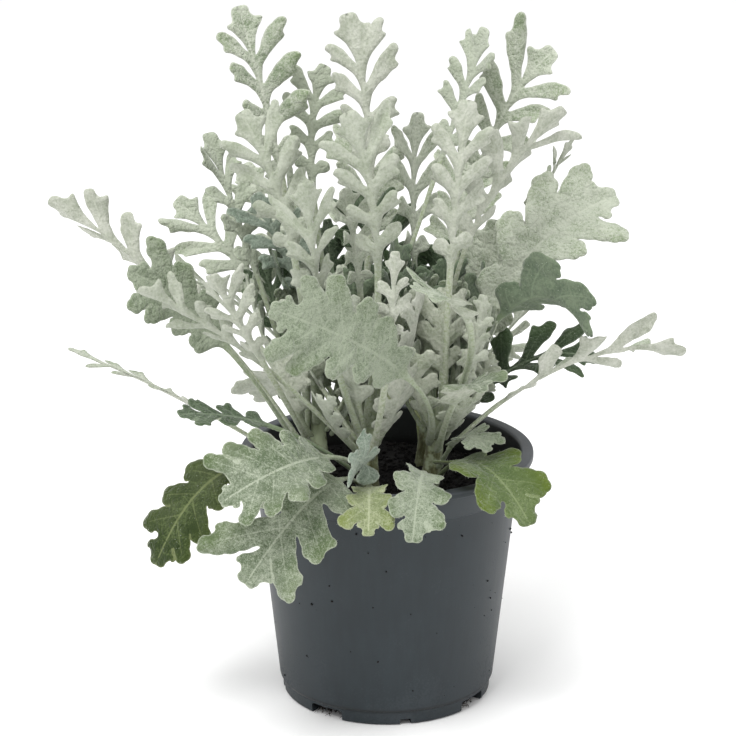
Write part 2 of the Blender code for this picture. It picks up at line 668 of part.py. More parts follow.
def make_stem(name, stem):
    """A stem: straight in its hole, then leaning, knobbly with old leaf scars, to a rounded top."""
    chance = random.Random(ord(name))
    rows = [(-STEM_SUNK, 1.0), (2.5, 1.0)]
    for n in range(1, STEM_RINGS):
        rows.append((lerp(2.5, stem.height, n / STEM_RINGS), chance.uniform(0.94, 1.0)))
    rows.append((stem.height - 1.0, 0.88))
    rows.append((stem.height + 1.0, 0.62))
    points = []
    for height, swell in rows:
        axis, radius = stem_at(stem, max(0.0, height))
        if height <= 2.5:
            axis = Vector((stem.x, stem.y, SOIL_TOP + height))
            radius = stem.radius
        for n in range(STEM_SIDES):
            angle = 2 * math.pi * n / STEM_SIDES
            out = Vector((math.cos(angle), math.sin(angle), 0)) * radius * swell
            points.append(tuple(axis + out))
    faces = [list(range(STEM_SIDES))[::-1]]
    for row in range(len(rows) - 1):
        for n in range(STEM_SIDES):
            m = (n + 1) % STEM_SIDES
            base = row * STEM_SIDES
            faces.append((base + n, base + m, base + m + STEM_SIDES, base + n + STEM_SIDES))
    crown, _ = stem_at(stem, stem.height + 2.6)
    points.append(tuple(crown))
    last = (len(rows) - 1) * STEM_SIDES
    faces += [(last + n, last + (n + 1) % STEM_SIDES, len(points) - 1) for n in range(STEM_SIDES)]
    return make_object(f"stem_{name}", points, faces, (0.30, 0.34, 0.22), 0.8, True)


def solid_of(made):
    """(points, triangles) of an object's mesh, in millimetres."""
    mesh = made.data
    mesh.calc_loop_triangles()
    points = np.array([tuple(v.co) for v in mesh.vertices]) / MM
    return points, [tuple(t.vertices) for t in mesh.loop_triangles]


def main():
    for old in list(bpy.data.objects):
        bpy.data.objects.remove(old)
    placing = Placing()
    placing.stand(*solid_of(make_pot()))
    placing.stand(*solid_of(make_soil()))
    for name, stem in STEMS.items():
        placing.stand(*solid_of(make_stem(name, stem)))
    for index, leaf in enumerate(LEAVES, 1):
        name = f"leaf_{index:02d}"
        points, triangles = placing.settle(name, Growth(leaf, index))
        make_object(name, points, triangles, TONES[leaf.tone], 0.9, True)


if __name__ == "__main__":
    main()
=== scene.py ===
"""The looks of a potted dusty miller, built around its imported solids.

Every leaf, stem, the soil and the pot is rebuilt finer than its solid, in the same place: leaves get
rounded margins, ridged veins and a felt of hairs, and the soil gets loose crumbs. Lengths are in
millimetres and angles in degrees until a mesh is made.
"""

from __future__ import annotations

import itertools
import json
import logging
import math
import random
from dataclasses import dataclass, field
from enum import Enum

import bmesh
import bpy
import numpy as np
from mathutils import Matrix, Vector, noise
from mathutils.geometry import delaunay_2d_cdt

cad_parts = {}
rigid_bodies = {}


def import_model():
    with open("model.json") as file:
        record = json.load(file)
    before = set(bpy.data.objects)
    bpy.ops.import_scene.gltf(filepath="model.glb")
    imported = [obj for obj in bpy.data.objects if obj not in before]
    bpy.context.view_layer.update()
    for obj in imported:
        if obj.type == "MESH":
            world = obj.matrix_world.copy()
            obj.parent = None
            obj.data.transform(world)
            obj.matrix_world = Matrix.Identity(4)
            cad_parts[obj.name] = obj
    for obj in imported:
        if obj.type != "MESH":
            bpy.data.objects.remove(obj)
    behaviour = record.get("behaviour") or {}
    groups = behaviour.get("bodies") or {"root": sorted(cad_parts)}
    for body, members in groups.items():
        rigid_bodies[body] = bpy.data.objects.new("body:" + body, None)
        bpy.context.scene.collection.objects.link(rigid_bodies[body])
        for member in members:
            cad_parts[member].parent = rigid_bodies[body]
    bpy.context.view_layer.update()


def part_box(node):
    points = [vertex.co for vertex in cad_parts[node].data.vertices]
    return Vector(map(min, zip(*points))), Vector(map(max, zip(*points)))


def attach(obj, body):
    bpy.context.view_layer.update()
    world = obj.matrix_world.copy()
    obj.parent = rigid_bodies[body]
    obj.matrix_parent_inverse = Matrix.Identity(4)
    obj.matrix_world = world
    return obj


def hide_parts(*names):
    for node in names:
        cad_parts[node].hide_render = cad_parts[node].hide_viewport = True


logging.basicConfig(level=logging.INFO, format="%(message)s")
LOG = logging.getLogger("scene")

MM = 0.001
PICTURE = 736

# The pot, its soil, and how the stems stand in it and taper, as in their solids.
POT_HEIGHT = 104.0
RIM_RADIUS = 60.0
RIM_WIDTH = 4.6
RIM_LIP = 3.2
COLLAR_HEIGHT = 13.5
BODY_TOP_RADIUS = 53.6
BODY_BOTTOM_RADIUS = 44.6
FOOT_RADIUS = 43.2
FOOT_HEIGHT = 5.2
POT_WALL = 1.3
POT_FLOOR = 2.0
DRAIN_COUNT = 4
DRAIN_FIRST = -125.0
DRAIN_WIDTH = 15.0
DRAIN_HEIGHT = 4.4
DRAIN_REACH = 9.0
SMALL_DRAIN_WIDTH = 4.6
SMALL_DRAIN_HEIGHT = 2.4
SOIL_TOP = 89.0
STEM_SUNK = 10.0
STEM_TAPER = 0.66

# The blades, stalks, midribs and lobes, as in the leaves' solids.
BLADE_THICKNESS = 0.75
STALK_THICKNESS = 1.9
STALK_HALF_WIDTH = 1.3
STALK_BASE_HALF_WIDTH = 1.9
RIB_HEIGHT = 0.7
CLEARANCE = 0.35
ARC_STEPS = 40
LOBE_STAGGER = 0.22
SHORTEST_STALK = 6.0
STALK_STATIONS = (0.34, 0.70, 0.98)
LOBES_FROM = 0.04
LOBES_OVER = 0.74
LOBES_CROWD = 0.94
FOOT_NARROWS = 0.50
TIP_NARROWS = 0.26
REACH_RANGE = (0.80, 1.12)
SLANT_RANGE = (0.90, 1.10)
ROUND_FROM_WEB = 0.4
BLADE_START = 0.9
BLADE_THINS_OVER = 0.16

# How a blade bends: its fold's rounding, its lobes' tilt and its waves.
FOLD_ROUNDING = 2.5
LOBE_TILT_WIDTH = 4.0
LOBE_TILT_FROM = 3.0
WAVE_HEIGHT = 0.5
WAVE_LENGTH = 5.5

# A rebuilt leaf's grid, and how its margin is eased and scalloped.
FINE_STEP = 1.25
SCALLOP_LENGTH = 5.6
SCALLOP_DEPTH = 0.75
UNEVEN_DEPTH = 0.35
EASE_BROAD = 8
EASE_CUT = 1
EASE_SPARE = 0.5

# The hairs on a leaf: their radius in metres, their lean in radians, how many millimetres from the margin
# they get sparse, and what share of them is left there.
HAIR_RADIUS = 0.00004
HAIR_LEAN = 1.1
HAIRY_RIM = 1.2
HAIR_SHARE_INSIDE = 0.22

# What is scattered turns up to this many radians, and this power makes most of it small.
ANY_TURN = 6.2
MOSTLY_SMALL = 2.6

# The turns that a leaf's solid may have been given, and how closely its box has to match.
TURN_SIDEWAYS = range(-15, 16, 3)
TURN_UPWARDS = range(-9, 10, 3)
TURN_ROLLED = (-30, -20, -10, 0, 10, 20, 30)
TURN_LIFTED = (-8, -4, 0, 4, 8)
MATCH_WITHIN = 0.05

# The young leaves round a stem's top.
YOUNG_COUNT = 12
YOUNG_DROP = 1.0
YOUNG_SHORTEST = 24.0
YOUNG_LONGEST = 64.0
YOUNG_BLADE = 34.0
GOLDEN_ANGLE = 2.4

# The photograph's camera.
VIEW_TILT = 17.1
VIEW_DISTANCE = 1000.0
VIEW_X = -7.7
VIEW_Z = 138.0
FOCAL_PIXELS = 2467.7
SENSOR = 36.0


class Tone(Enum):
    """How old and how felted a leaf is; the green tone is also painted shade on leaves deep in the plant's
    middle and back.
    """

    FELT = "felt"
    GREEN = "green"
    BLUE = "blue"
    OLIVE = "olive"
    YELLOW = "yellow"
    MOTTLED = "mottled"
    PALE = "pale"


# The young leaves' tone on each stem: the back stems d and e get the dark green tone as painted shade in
# the plant's middle.
YOUNG_TONES = {"a": Tone.MOTTLED, "b": Tone.FELT, "c": Tone.MOTTLED, "d": Tone.GREEN, "e": Tone.GREEN}


class Slot(Enum):
    """The record's material slots."""

    POT = "pot"
    SOIL = "soil"
    STEM = "stem"
    LEAF = "leaf"


@dataclass(frozen=True)
class Stem:
    """A short woody stem: where it leaves the soil, how tall it is and how it leans."""

    x: float
    y: float
    height: float
    radius: float
    lean: float
    towards: float


STEMS = {
    "a": Stem(-27, -4, 32, 4.4, 7, 110),
    "b": Stem(-7, -18, 34, 4.4, 5, 260),
    "c": Stem(17, -9, 36, 4.4, 8, 330),
    "d": Stem(-10, 14, 44, 4.6, 4, 130),
    "e": Stem(16, 19, 38, 4.4, 7, 50),
}


@dataclass(frozen=True)
class Form:
    """How a blade is cut. Widths and depths are shares of the space between lobes or of a lobe's length."""

    pairs: int
    wing: float
    web: float
    neck: float
    tooth: float
    slant: tuple
    end: float
    curly: float


FORMS = {
    "cut": Form(4, 1.6, 0.0, 0.20, 0.43, (64, 38), 0.27, 0.50),
    "feather": Form(4, 1.5, 0.0, 0.20, 0.42, (60, 36), 0.24, 0.48),
    "broad": Form(4, 2.0, 0.50, 0.48, 0.47, (70, 38), 0.27, 0.14),
    "scalloped": Form(5, 2.0, 0.50, 0.48, 0.47, (76, 40), 0.22, 0.16),
    "oak": Form(3, 2.0, 0.48, 0.42, 0.45, (72, 38), 0.33, 0.10),
    "young": Form(3, 1.2, 0.22, 0.34, 0.44, (66, 34), 0.30, 0.16),
}

# Each lobe's outline, from its side nearest the stalk, over its teeth, to its side nearest the leaf's tip:
# along the lobe as a share of its length, and across it as a share of its half width.
LOBES = {
    "plain": ((0.60, -0.74), (0.93, -0.66), (1.02, 0.20), (0.70, 0.80)),
    "notched": ((0.58, -0.78), (0.86, -1.06), (0.82, -0.25), (1.04, 0.10), (0.90, 0.86)),
    "round": ((0.70, -0.90), (0.94, -0.66), (1.03, 0.00), (0.94, 0.66), (0.70, 0.92)),
    "toothed": ((0.56, -0.74), (0.80, -1.14), (0.80, -0.46), (1.02, -0.36), (1.04, 0.44), (0.70, 0.92)),
}
END_LOBE = ((0.30, 0.36), (0.62, 1.00), (0.66, 0.46), (0.98, 0.40))


@dataclass(frozen=True)
class Leaf:
    """One leaf, placed as its solid is.

    It has a stem, the height of its foot, its tip as the photograph shows it and that tip's depth, its
    blade's length and width, its form, the way it faces, its bow, fold, curl and tone. A young leaf has
    the end point of its midrib instead of a tip in the photograph.
    """

    stem: str
    height: float
    across: float
    up: float
    depth: float
    blade: float
    width: float
    form: str
    face: tuple
    bow: tuple = (0, 0, 10)
    fold: float = 14.0
    curl: float = 0.0
    tone: Tone = Tone.FELT
    end: tuple = ()

    def shown_tone(self) -> Tone:
        """The leaf's tone, which is mottled where a webbed leaf has the plain felted one."""
        webbed = FORMS[self.form].web > 0 and self.form != "broad"
        return Tone.MOTTLED if webbed and self.tone is Tone.FELT else self.tone


LEAVES = (
    # The tall leaves at the top and the left.
    Leaf("a", 30, -53, 147, 15, 64, 38, "cut", (0.5, -0.9, 0), (6, 0, 0), 24),
    Leaf("d", 39, -17, 123, 22, 46, 28, "cut", (0, -1, 0.2), (-10, 0, 16)),
    Leaf("a", 22, -52, 104, -12, 58, 36, "cut", (-0.3, 1, 0.2), (9, -8, 14), 24),
    Leaf("a", 26, -64, 100, 24, 58, 28, "cut", (0.6, -0.8, 0), (-4, 0, 14), 26),
    Leaf("d", 25, -40, 84, 34, 50, 32, "cut", (-0.6, -0.8, 0.2), (3, 0, 0)),
    Leaf("a", 14, -130, 68, 0, 78, 36, "feather", (0, 0.8, 0.7), (3, 0, 11), 24),
    Leaf("a", 13, -93, 48, -36, 50, 34, "broad", (-0.2, -1, 0.7), (0, 0, 14), tone=Tone.MOTTLED),
    Leaf("b", 20, -95, 33, -48, 58, 28, "feather", (0, 0.9, 1), (-4, -4, 12), 24),
    Leaf("a", 5, -122, 8, 16, 62, 20, "feather", (0, 0.2, 1), (-2, 0, 5)),
    Leaf("b", 11, -77, -19, -58, 36, 20, "young", (0, -0.4, 1), (0, 0, 8), tone=Tone.GREEN),
    # The low leaves that hang over the rim.
    Leaf("a", 2.5, -86, -84, -46, 58, 32, "broad", (-0.6, -1, 0.4), (-4, -8, 22), 10, -0.3, Tone.OLIVE),
    Leaf("b", 14, -60, -55, -88, 52, 42, "scalloped", (-0.1, -1, 0.8), (6, -10, 14)),
    Leaf("b", 6, -50, -88, -80, 60, 46, "young", (-0.1, -1, 0.5), (6, -12, 22), 10),
    Leaf("b", 11, -8, -36, -70, 26, 26, "young", (0, -1, 0.3), (3, -6, 3), tone=Tone.BLUE),
    Leaf("b", 2.5, -3, -62, -80, 28, 22, "oak", (-0.1, -0.7, 0.7), (0, -6, 14), tone=Tone.PALE),
    Leaf("c", 3, 18, -71, -84, 42, 26, "oak", (0.1, -1, 0.4), (0, -8, 18)),
    Leaf("c", 7, 66, -64, -66, 56, 36, "oak", (0.2, -0.8, 0.8), (-4, -6, 16), tone=Tone.YELLOW),
    Leaf("c", 11, 49, -34, -46, 28, 18, "young", (0.1, -0.6, 1), (0, 0, 10)),
    Leaf("c", 14, 47, -14, -66, 34, 26, "oak", (0.2, -0.8, 0.8), (0, -4, 14)),
    # The long leaves to the right.
    Leaf("c", 17, 129, 6, -10, 78, 34, "feather", (0, 0.8, 0.9), (0, 0, 16)),
    Leaf("e", 10, 93, 3, 22, 58, 34, "cut", (0.1, -0.5, 1), (0, 0, 16), tone=Tone.GREEN),
    Leaf("c", 31, 101, 70, 22, 70, 44, "broad", (-0.3, -1, 0.5), (-7, 0, 15)),
    Leaf("e", 21, 90, 18, -28, 46, 40, "oak", (0.8, 0.7, 0.6), (4, 0, 34), 26, tone=Tone.GREEN),
    Leaf("e", 36, 76, 129, 18, 62, 44, "cut", (-0.5, -0.9, 0.2), (-8, 0, 20), 22),
    Leaf("d", 42, -9, 144, 2, 62, 36, "cut", (0.2, 1, 0), (8, -4, 12), 22),
    # The pale midribs and undersides in front.
    Leaf("b", 32, -9, 104, -52, 60, 34, "cut", (0, 1, 0.2), (8, -8, 14), 22),
    Leaf("c", 34, 41, 109, -34, 64, 32, "feather", (0, 1, 0.1), (-2, -8, 8), 22),
    Leaf("e", 33, 80, 115, 2, 66, 38, "feather", (-0.2, 1, 0.3), (-13, -4, 16), 22),
    Leaf("e", 26, 84, 98, 38, 46, 18, "feather", (0, 0.3, 1), (0, 0, 8)),
    Leaf("c", 21, -40, 24, -88, 66, 42, "scalloped", (-0.1, -1, 0.4), (20, -6, 4), 8),
    Leaf("a", 16, -64, 38, -66, 44, 26, "cut", (0.2, 0.9, 0.3), (0, -8, 4), 24),
    Leaf("b", 28, -25, 80, -80, 62, 26, "feather", (-0.3, 0.9, 0), (-4, -6, 0), 24),
    Leaf("d", 30, -10, 73, -40, 46, 24, "cut", (0.5, -0.7, 0), (4, -4, 0), 24),
    Leaf("b", 26, 12, 52, -78, 52, 14, "feather", (0, 1, 0.1), (2, -6, 0)),
    Leaf("c", 24, 18, 32, -92, 38, 26, "young", (-0.1, -0.3, 1), (16, 0, 16)),
    Leaf("c", 27, 47, 34, -30, 42, 14, "feather", (0.3, 1, 0), (2, 0, 0)),
    Leaf("e", 17, 29, 28, -8, 42, 26, "oak", (0, -1, 0.2), (0, 0, 0), tone=Tone.GREEN),
    Leaf("e", 19, 50, 14, -16, 34, 14, "young", (0.3, 1, 0.2), (3, 0, 0)),
    Leaf("a", 17, -44, 50, 26, 44, 24, "cut", (0, -1, 0.3), (0, 0, 4), tone=Tone.GREEN),
    Leaf("d", 33, -32, 76, 12, 46, 30, "cut", (0, -1, 0.4), (0, 0, 4), tone=Tone.BLUE),
    Leaf("e", 24, 52, 68, 46, 60, 40, "broad", (-0.1, -1, 0.2), (4, 0, 0)),
    # The leaves that fill the middle; the green one among them is painted shade there.
    Leaf("d", 43, 48, 138, 12, 50, 30, "cut", (-0.7, -0.7, 0.1), (4, 0, 12), 22),
    Leaf("e", 31, 20, 104, 30, 60, 38, "cut", (0.7, -0.7, 0.2), (-3, 0, 6)),
    Leaf("e", 27.5, 2, 80, 32, 54, 38, "cut", (0.2, -1, 0.3), (0, 0, 4), tone=Tone.GREEN),
    Leaf("d", 21, -74, 72, 44, 54, 36, "cut", (0.3, -1, 0.4), (0, 0, 8)),
    # The leaves at the back.
    Leaf("d", 17, -78, 36, 76, 64, 36, "cut", (0, 0.6, 1), (0, 0, 14)),
    Leaf("d", 28, -44, 84, 74, 60, 34, "cut", (0.2, -0.6, 1), (0, 6, 0)),
    Leaf("d", 36, 2, 104, 68, 62, 36, "feather", (0, -0.6, 1), (0, 6, 0)),
    Leaf("e", 29, 42, 90, 76, 60, 36, "cut", (-0.2, -0.6, 1), (0, 6, 0)),
    Leaf("e", 14, 82, 42, 74, 62, 34, "feather", (0, 0.4, 1), (0, 0, 14)),
    Leaf("d", 8, -44, -14, 108, 58, 38, "broad", (0, 0.4, 1), (0, 6, 20)),
    Leaf("e", 4, 10, -22, 116, 60, 40, "broad", (0, 0.5, 1), (0, 6, 24), tone=Tone.OLIVE),
    Leaf("e", 7, 54, -4, 104, 58, 36, "cut", (0, 0.4, 1), (0, 4, 20)),
)


def lerp(start: float, end: float, share: float) -> float:
    """The value that lies this share of the way from start to end."""
    return start + (end - start) * share


def linear(red: float, green: float, blue: float) -> tuple[float, float, float, float]:
    """A colour as seen on screen, 0 to 255, as the linear colour that a shader takes.

    Args:
        red, green, blue: the colour as it shows on screen.

    Returns:
        The linear red, green, blue and an alpha of 1.
    """
    made = []
    for part in (red, green, blue):
        share = part / 255
        made.append(share / 12.92 if share <= 0.04045 else ((share + 0.055) / 1.055) ** 2.4)
    return (*made, 1.0)


def seen_place(across: float, up: float, depth: float) -> Vector:
    """The place that the photograph shows at a point of it.

    Args:
        across, up: how far the point is from the photograph's middle, as a length at the pot's axis.
        depth: how far the place lies behind the pot's axis.

    Returns:
        The place.
    """
    tilt = math.radians(VIEW_TILT)
    rise = up / VIEW_DISTANCE
    height = (rise * (VIEW_DISTANCE + depth * math.cos(tilt)) - depth * math.sin(tilt)) / (
        math.cos(tilt) + rise * math.sin(tilt)
    )
    away = VIEW_DISTANCE + depth * math.cos(tilt) - height * math.sin(tilt)
    return Vector((VIEW_X + across / VIEW_DISTANCE * away, depth, VIEW_Z + height))


def stem_at(stem: Stem, height: float) -> tuple[Vector, float]:
    """A stem's middle and thickness at one height.

    Args:
        stem: the stem.
        height: how far above the soil.

    Returns:
        The point on the stem's axis, and its radius there.
    """
    lean = math.tan(math.radians(stem.lean)) * height
    towards = math.radians(stem.towards)
    axis = Vector((stem.x + lean * math.cos(towards), stem.y + lean * math.sin(towards), SOIL_TOP + height))
    return axis, stem.radius * lerp(1.0, STEM_TAPER, max(0.0, height / stem.height))


def inner_radius(height: float) -> float:
    """The inside radius of the pot's wall at this height."""
    share = (height - FOOT_HEIGHT) / (POT_HEIGHT - COLLAR_HEIGHT - FOOT_HEIGHT)
    return lerp(BODY_BOTTOM_RADIUS, BODY_TOP_RADIUS, share) - POT_WALL


# What a pattern is multiplied by along each axis where it is not stretched.
EVEN = (1, 1, 1)


class Value:
    """One output of a shader node. Arithmetic on it adds Math nodes to the same tree."""

    def __init__(self, shading: Shading, socket: bpy.types.NodeSocket) -> None:
        """Holds the output and the tree that it is in."""
        self.shading = shading
        self.socket = socket

    def __add__(self, other: Value | float) -> Value:
        """This plus the other."""
        return self.shading.math("ADD", self, other)

    def __radd__(self, other: float) -> Value:
        """A number plus this."""
        return self.shading.math("ADD", other, self)

    def __sub__(self, other: Value | float) -> Value:
        """This less the other."""
        return self.shading.math("SUBTRACT", self, other)

    def __rsub__(self, other: float) -> Value:
        """A number less this."""
        return self.shading.math("SUBTRACT", other, self)

    def __mul__(self, other: Value | float) -> Value:
        """This times the other."""
        return self.shading.math("MULTIPLY", self, other)

    def __rmul__(self, other: float) -> Value:
        """A number times this."""
        return self.shading.math("MULTIPLY", other, self)


class Tree:
    """A node tree that is written as calls."""

    def __init__(self, tree: bpy.types.NodeTree) -> None:
        """Holds the tree."""
        self.tree = tree

    def feed(self, socket: bpy.types.NodeSocket, value: object) -> None:
        """Links an output to an input, or writes a value on the input.

        Args:
            socket: the input.
            value: an output, or a number, vector, material, object or screen colour.
        """
        if isinstance(value, Value):
            value = value.socket
        if isinstance(value, bpy.types.NodeSocket):
            self.tree.links.new(value, socket)
        else:
            socket.default_value = linear(*value) if socket.type == "RGBA" else value

    def node(self, kind: str, inputs: dict | None = None, **settings: object) -> bpy.types.Node:
        """Adds a node.

        Args:
            kind: the node's type.
            inputs: what each of its inputs holds or is fed by, by name or number.
            settings: the node's own properties, which are set first.

        Returns:
            The node.
        """
        made = self.tree.nodes.new(kind)
        for key, value in settings.items():
            setattr(made, key, value)
        for key, value in (inputs or {}).items():
            self.feed(made.inputs[key], value)
        return made


class Shading(Tree):
    """A material's node tree, written as arithmetic."""

    def __init__(self, name: str) -> None:
        """Starts a material.

        Args:
            name: the material's name.
        """
        self.material = bpy.data.materials.new(name)
        self.material.use_nodes = True
        super().__init__(self.material.node_tree)
        self.shader = self.tree.nodes["Principled BSDF"]

    def value(self, output: int | str, kind: str, inputs: dict | None = None, **settings: object) -> Value:
        """Adds a node, and gives the output of this name or number."""
        return Value(self, self.node(kind, inputs, **settings).outputs[output])

    def math(self, operation: str, first: Value | float, second: Value | float) -> Value:
        """One Math node."""
        return self.value(0, "ShaderNodeMath", {0: first, 1: second}, operation=operation)

    def vector(self, operation: str, first: Value, second: Value | tuple) -> Value:
        """One Vector Math node."""
        return self.value(0, "ShaderNodeVectorMath", {0: first, 1: second}, operation=operation)

    def mix(self, factor: Value | float, first: Value | tuple, second: Value | tuple) -> Value:
        """A colour between first and second, each an output or a screen colour."""
        return self.value(2, "ShaderNodeMix", {0: factor, 6: first, 7: second}, data_type="RGBA")

    def attribute(self, name: str) -> Value:
        """A number that the mesh stores on its points."""
        return self.value("Fac", "ShaderNodeAttribute", attribute_name=name)

    def place(self, stretch: tuple = EVEN) -> Value:
        """The point's place in its object, in metres, multiplied along each axis."""
        coords = self.value("Object", "ShaderNodeTexCoord")
        return coords if stretch == EVEN else self.vector("MULTIPLY", coords, stretch)

    def height(self) -> Value:
        """The point's height in its object, in metres."""
        return self.value("Z", "ShaderNodeSeparateXYZ", {0: self.place()})

    def noise(
        self, size: float, detail: float = 3.0, rough: float = 0.55, stretch: tuple = EVEN
    ) -> Value:
        """Noise from 0 to 1, whose blobs are about this many millimetres across where it is even."""
        inputs = {"Vector": self.place(stretch), "Scale": 1 / (size * MM)}
        return self.value(0, "ShaderNodeTexNoise", {**inputs, "Detail": detail, "Roughness": rough})

    def network(self, size: float, sway: float) -> Value:
        """Distance from a net of lines.

        Args:
            size: how wide the net's meshes are, in millimetres.
            sway: how far the lines are pushed about, in millimetres.

        Returns:
            The distance, 0 on the lines and about 0.4 in the middle of a mesh.
        """
        inputs = {"Vector": self.place(), "Scale": 1 / (size * 1.6 * MM)}
        push = self.vector("SUBTRACT", self.value("Color", "ShaderNodeTexNoise", inputs), (0.5, 0.5, 0.5))
        moved = self.vector("ADD", self.place(), self.vector("MULTIPLY", push, (sway * MM,) * 3))
        inputs = {"Vector": moved, "Scale": 1 / (size * MM)}
        return self.value("Distance", "ShaderNodeTexVoronoi", inputs, feature="DISTANCE_TO_EDGE")

    def step(self, value: Value, low: float, high: float) -> Value:
        """A smooth step from 0 at low to 1 at high."""
        inputs = {0: value, 1: low, 2: high}
        return self.value(0, "ShaderNodeMapRange", inputs, interpolation_type="SMOOTHSTEP")

    def finish(
        self, colour: Value, rough: Value | float, bump: Value, strength: float, depth: float
    ) -> bpy.types.Material:
        """Feeds the shader.

        Args:
            colour: the base colour.
            rough: the roughness.
            bump: the height that the bump reads.
            strength: how strong the bump is.
            depth: the bump's depth in millimetres.

        Returns:
            The material.
        """
        inputs = {"Height": bump, "Strength": strength, "Distance": depth * MM}
        normal = self.value("Normal", "ShaderNodeBump", inputs)
        for name, value in (("Base Color", colour), ("Roughness", rough), ("Normal", normal)):
            self.feed(self.shader.inputs[name], value)
        return self.material

    def steady(self, **values: float) -> None:
        """Sets shader inputs that are the same all over."""
        for key, value in values.items():
            self.shader.inputs[key.replace("_", " ")].default_value = value


# What a leaf's material reads at each of the leaf's points.
POINT_VALUES = ("upper", "rim", "mid", "side", "reach", "stalk", "shade")


@dataclass(frozen=True)
class LeafFinish:
    """A leaf's screen colours, and how far its felt covers the green.

    The green shows through the felt on the upper side, most of all towards the ends of the lobes, where
    it turns to the tip colour. The underside has its colour and a darker copy of it, painted shade, mixed
    in soft random patches. The marks are the net of veins, the midrib and the margin, from 0, hidden by
    the felt, to 1.
    """

    green: tuple
    tip: tuple
    felt: tuple
    under: tuple
    # The underside's darker copy, painted shade.
    under_painted_shade: tuple
    vein: tuple
    stalk: tuple
    cover: float
    marks: float = 1.0
    rough: float = 0.90
    sheen: float = 0.22
    hair_size: float = 0.42
    tuft_size: float = 1.2
    patch_size: float = 7.0
    cloud_size: float = 24.0
    small_net: float = 1.9
    large_net: float = 4.6
    bump: float = 0.75
    bump_depth: float = 0.42

    def material(self, name: str) -> bpy.types.Material:
        """The felted leaf material.

        Args:
            name: the material's name.

        Returns:
            The material.
        """
        shading = Shading(name)
        mix = shading.mix
        step = shading.step
        fine = shading.noise(self.hair_size, 2.0, 0.6)
        tuft = shading.noise(self.tuft_size, 4.0, 0.65)
        patch = shading.noise(self.patch_size, 3.0, 0.5)
        wide = shading.noise(self.cloud_size, 2.0, 0.5)
        small_net = shading.network(self.small_net, 1.0)
        large_net = shading.network(self.large_net, 2.4)
        upper, rim, mid, side, reach, stalk, shade = (shading.attribute(value) for value in POINT_VALUES)
        # The lines that show on a blade: its midrib, its side veins, its margin and the net between them.
        fray = (tuft - 0.5) * 0.3
        midrib = 1 - step(mid + fray, 0.35, 0.95)
        branches = 1 - step(side + fray, 0.12, 0.55)
        veins = shading.math("MAXIMUM", midrib, branches * (1.0 - upper * 0.5))
        veins = veins * (0.35 + self.marks * 0.65)
        edge = (1 - step(rim + (tuft - 0.5) * 0.25, 0.10, 0.60)) * (0.4 + self.marks * 0.6)
        lines = (1 - step(small_net, 0.02, 0.12)) * 0.5 + (1 - step(large_net, 0.01, 0.07)) * 0.6
        lines = lines * self.marks
        # How far the felt hides the green.
        cover = fine * 0.60 + tuft * 0.48 + patch * 0.42 + lines * 0.12 + veins * 0.22 + edge * 0.16 - 0.08
        cover = step(cover - reach * 0.10 + (shade - 0.5) * 0.16 + self.cover, 0.50, 0.86)
        # The upper side, the underside, and what lies over both.
        green = mix(step(reach + (patch - 0.5) * 0.6, 0.25, 0.95), self.green, self.tip)
        top = mix(cover, green, self.felt)
        top = mix(step(wide, 0.40, 0.75) * 0.14, top, self.under)
        # Painted shade on the underside: its colour and a darker copy, mixed in soft random patches.
        under_shade_mix = step(tuft * 0.45 + patch * 0.40 + lines * 0.10 + fine * 0.15, 0.34, 0.66)
        colour = mix(upper, mix(under_shade_mix, self.under_painted_shade, self.under), top)
        colour = mix(veins * (0.62 - upper * 0.26), colour, self.vein)
        colour = mix(edge * 0.42, colour, self.vein)
        colour = mix(stalk * 0.85, colour, mix(step(tuft, 0.35, 0.65), self.stalk, self.vein))
        colour = mix(shade * shade * 0.34, colour, self.green)
        # The bump: hairs, and a quilting between the net's lines.
        quilt = step(small_net, 0.0, 0.30) * 0.55 + step(large_net, 0.0, 0.22) * 0.8
        quilt = quilt * (upper * 1.5 - 0.5) * (1 - stalk)
        hairs = fine * 0.35 + tuft * 0.55 + patch * 0.45 + quilt
        shading.steady(Sheen_Weight=self.sheen, Sheen_Roughness=0.5, Specular_IOR_Level=0.20)
        return shading.finish(colour, self.rough, hairs, self.bump, self.bump_depth)


# In each finish the underside's second colour is a darker copy of it, painted shade.
LEAF_FINISHES = {
    Tone.FELT: LeafFinish((108, 124, 94), (112, 128, 92), (178, 183, 168), (193, 195, 184), (146, 152, 135),
                          (192, 196, 180), (152, 163, 130), 0.12, 0.25),
    Tone.MOTTLED: LeafFinish((82, 97, 70), (84, 101, 62), (160, 168, 149), (190, 193, 179), (134, 143, 120),
                             (182, 189, 168), (150, 162, 130), 0.03, 0.4),
    # The dark green tone: older, barer leaves, and painted shade on leaves deep in the plant.
    Tone.GREEN: LeafFinish((50, 66, 44), (58, 78, 46), (104, 118, 96), (114, 127, 104), (78, 93, 74),
                           (132, 146, 120), (122, 138, 102), -0.04, 0.6),
    Tone.BLUE: LeafFinish((90, 106, 92), (92, 110, 92), (150, 162, 148), (168, 177, 163), (122, 134, 119),
                          (176, 184, 168), (148, 162, 134), 0.08, 0.4),
    Tone.OLIVE: LeafFinish((40, 54, 20), (50, 64, 18), (88, 102, 60), (138, 146, 112), (88, 98, 62),
                           (134, 140, 98), (120, 130, 86), -0.12),
    Tone.YELLOW: LeafFinish((70, 88, 46), (88, 104, 14), (124, 138, 98), (140, 150, 104), (98, 110, 66),
                            (148, 158, 118), (132, 148, 98), -0.14, 0.8),
    Tone.PALE: LeafFinish((104, 116, 74), (112, 124, 66), (156, 163, 130), (168, 174, 140), (140, 148, 112),
                          (176, 182, 152), (150, 162, 124), 0.04, 0.5),
}


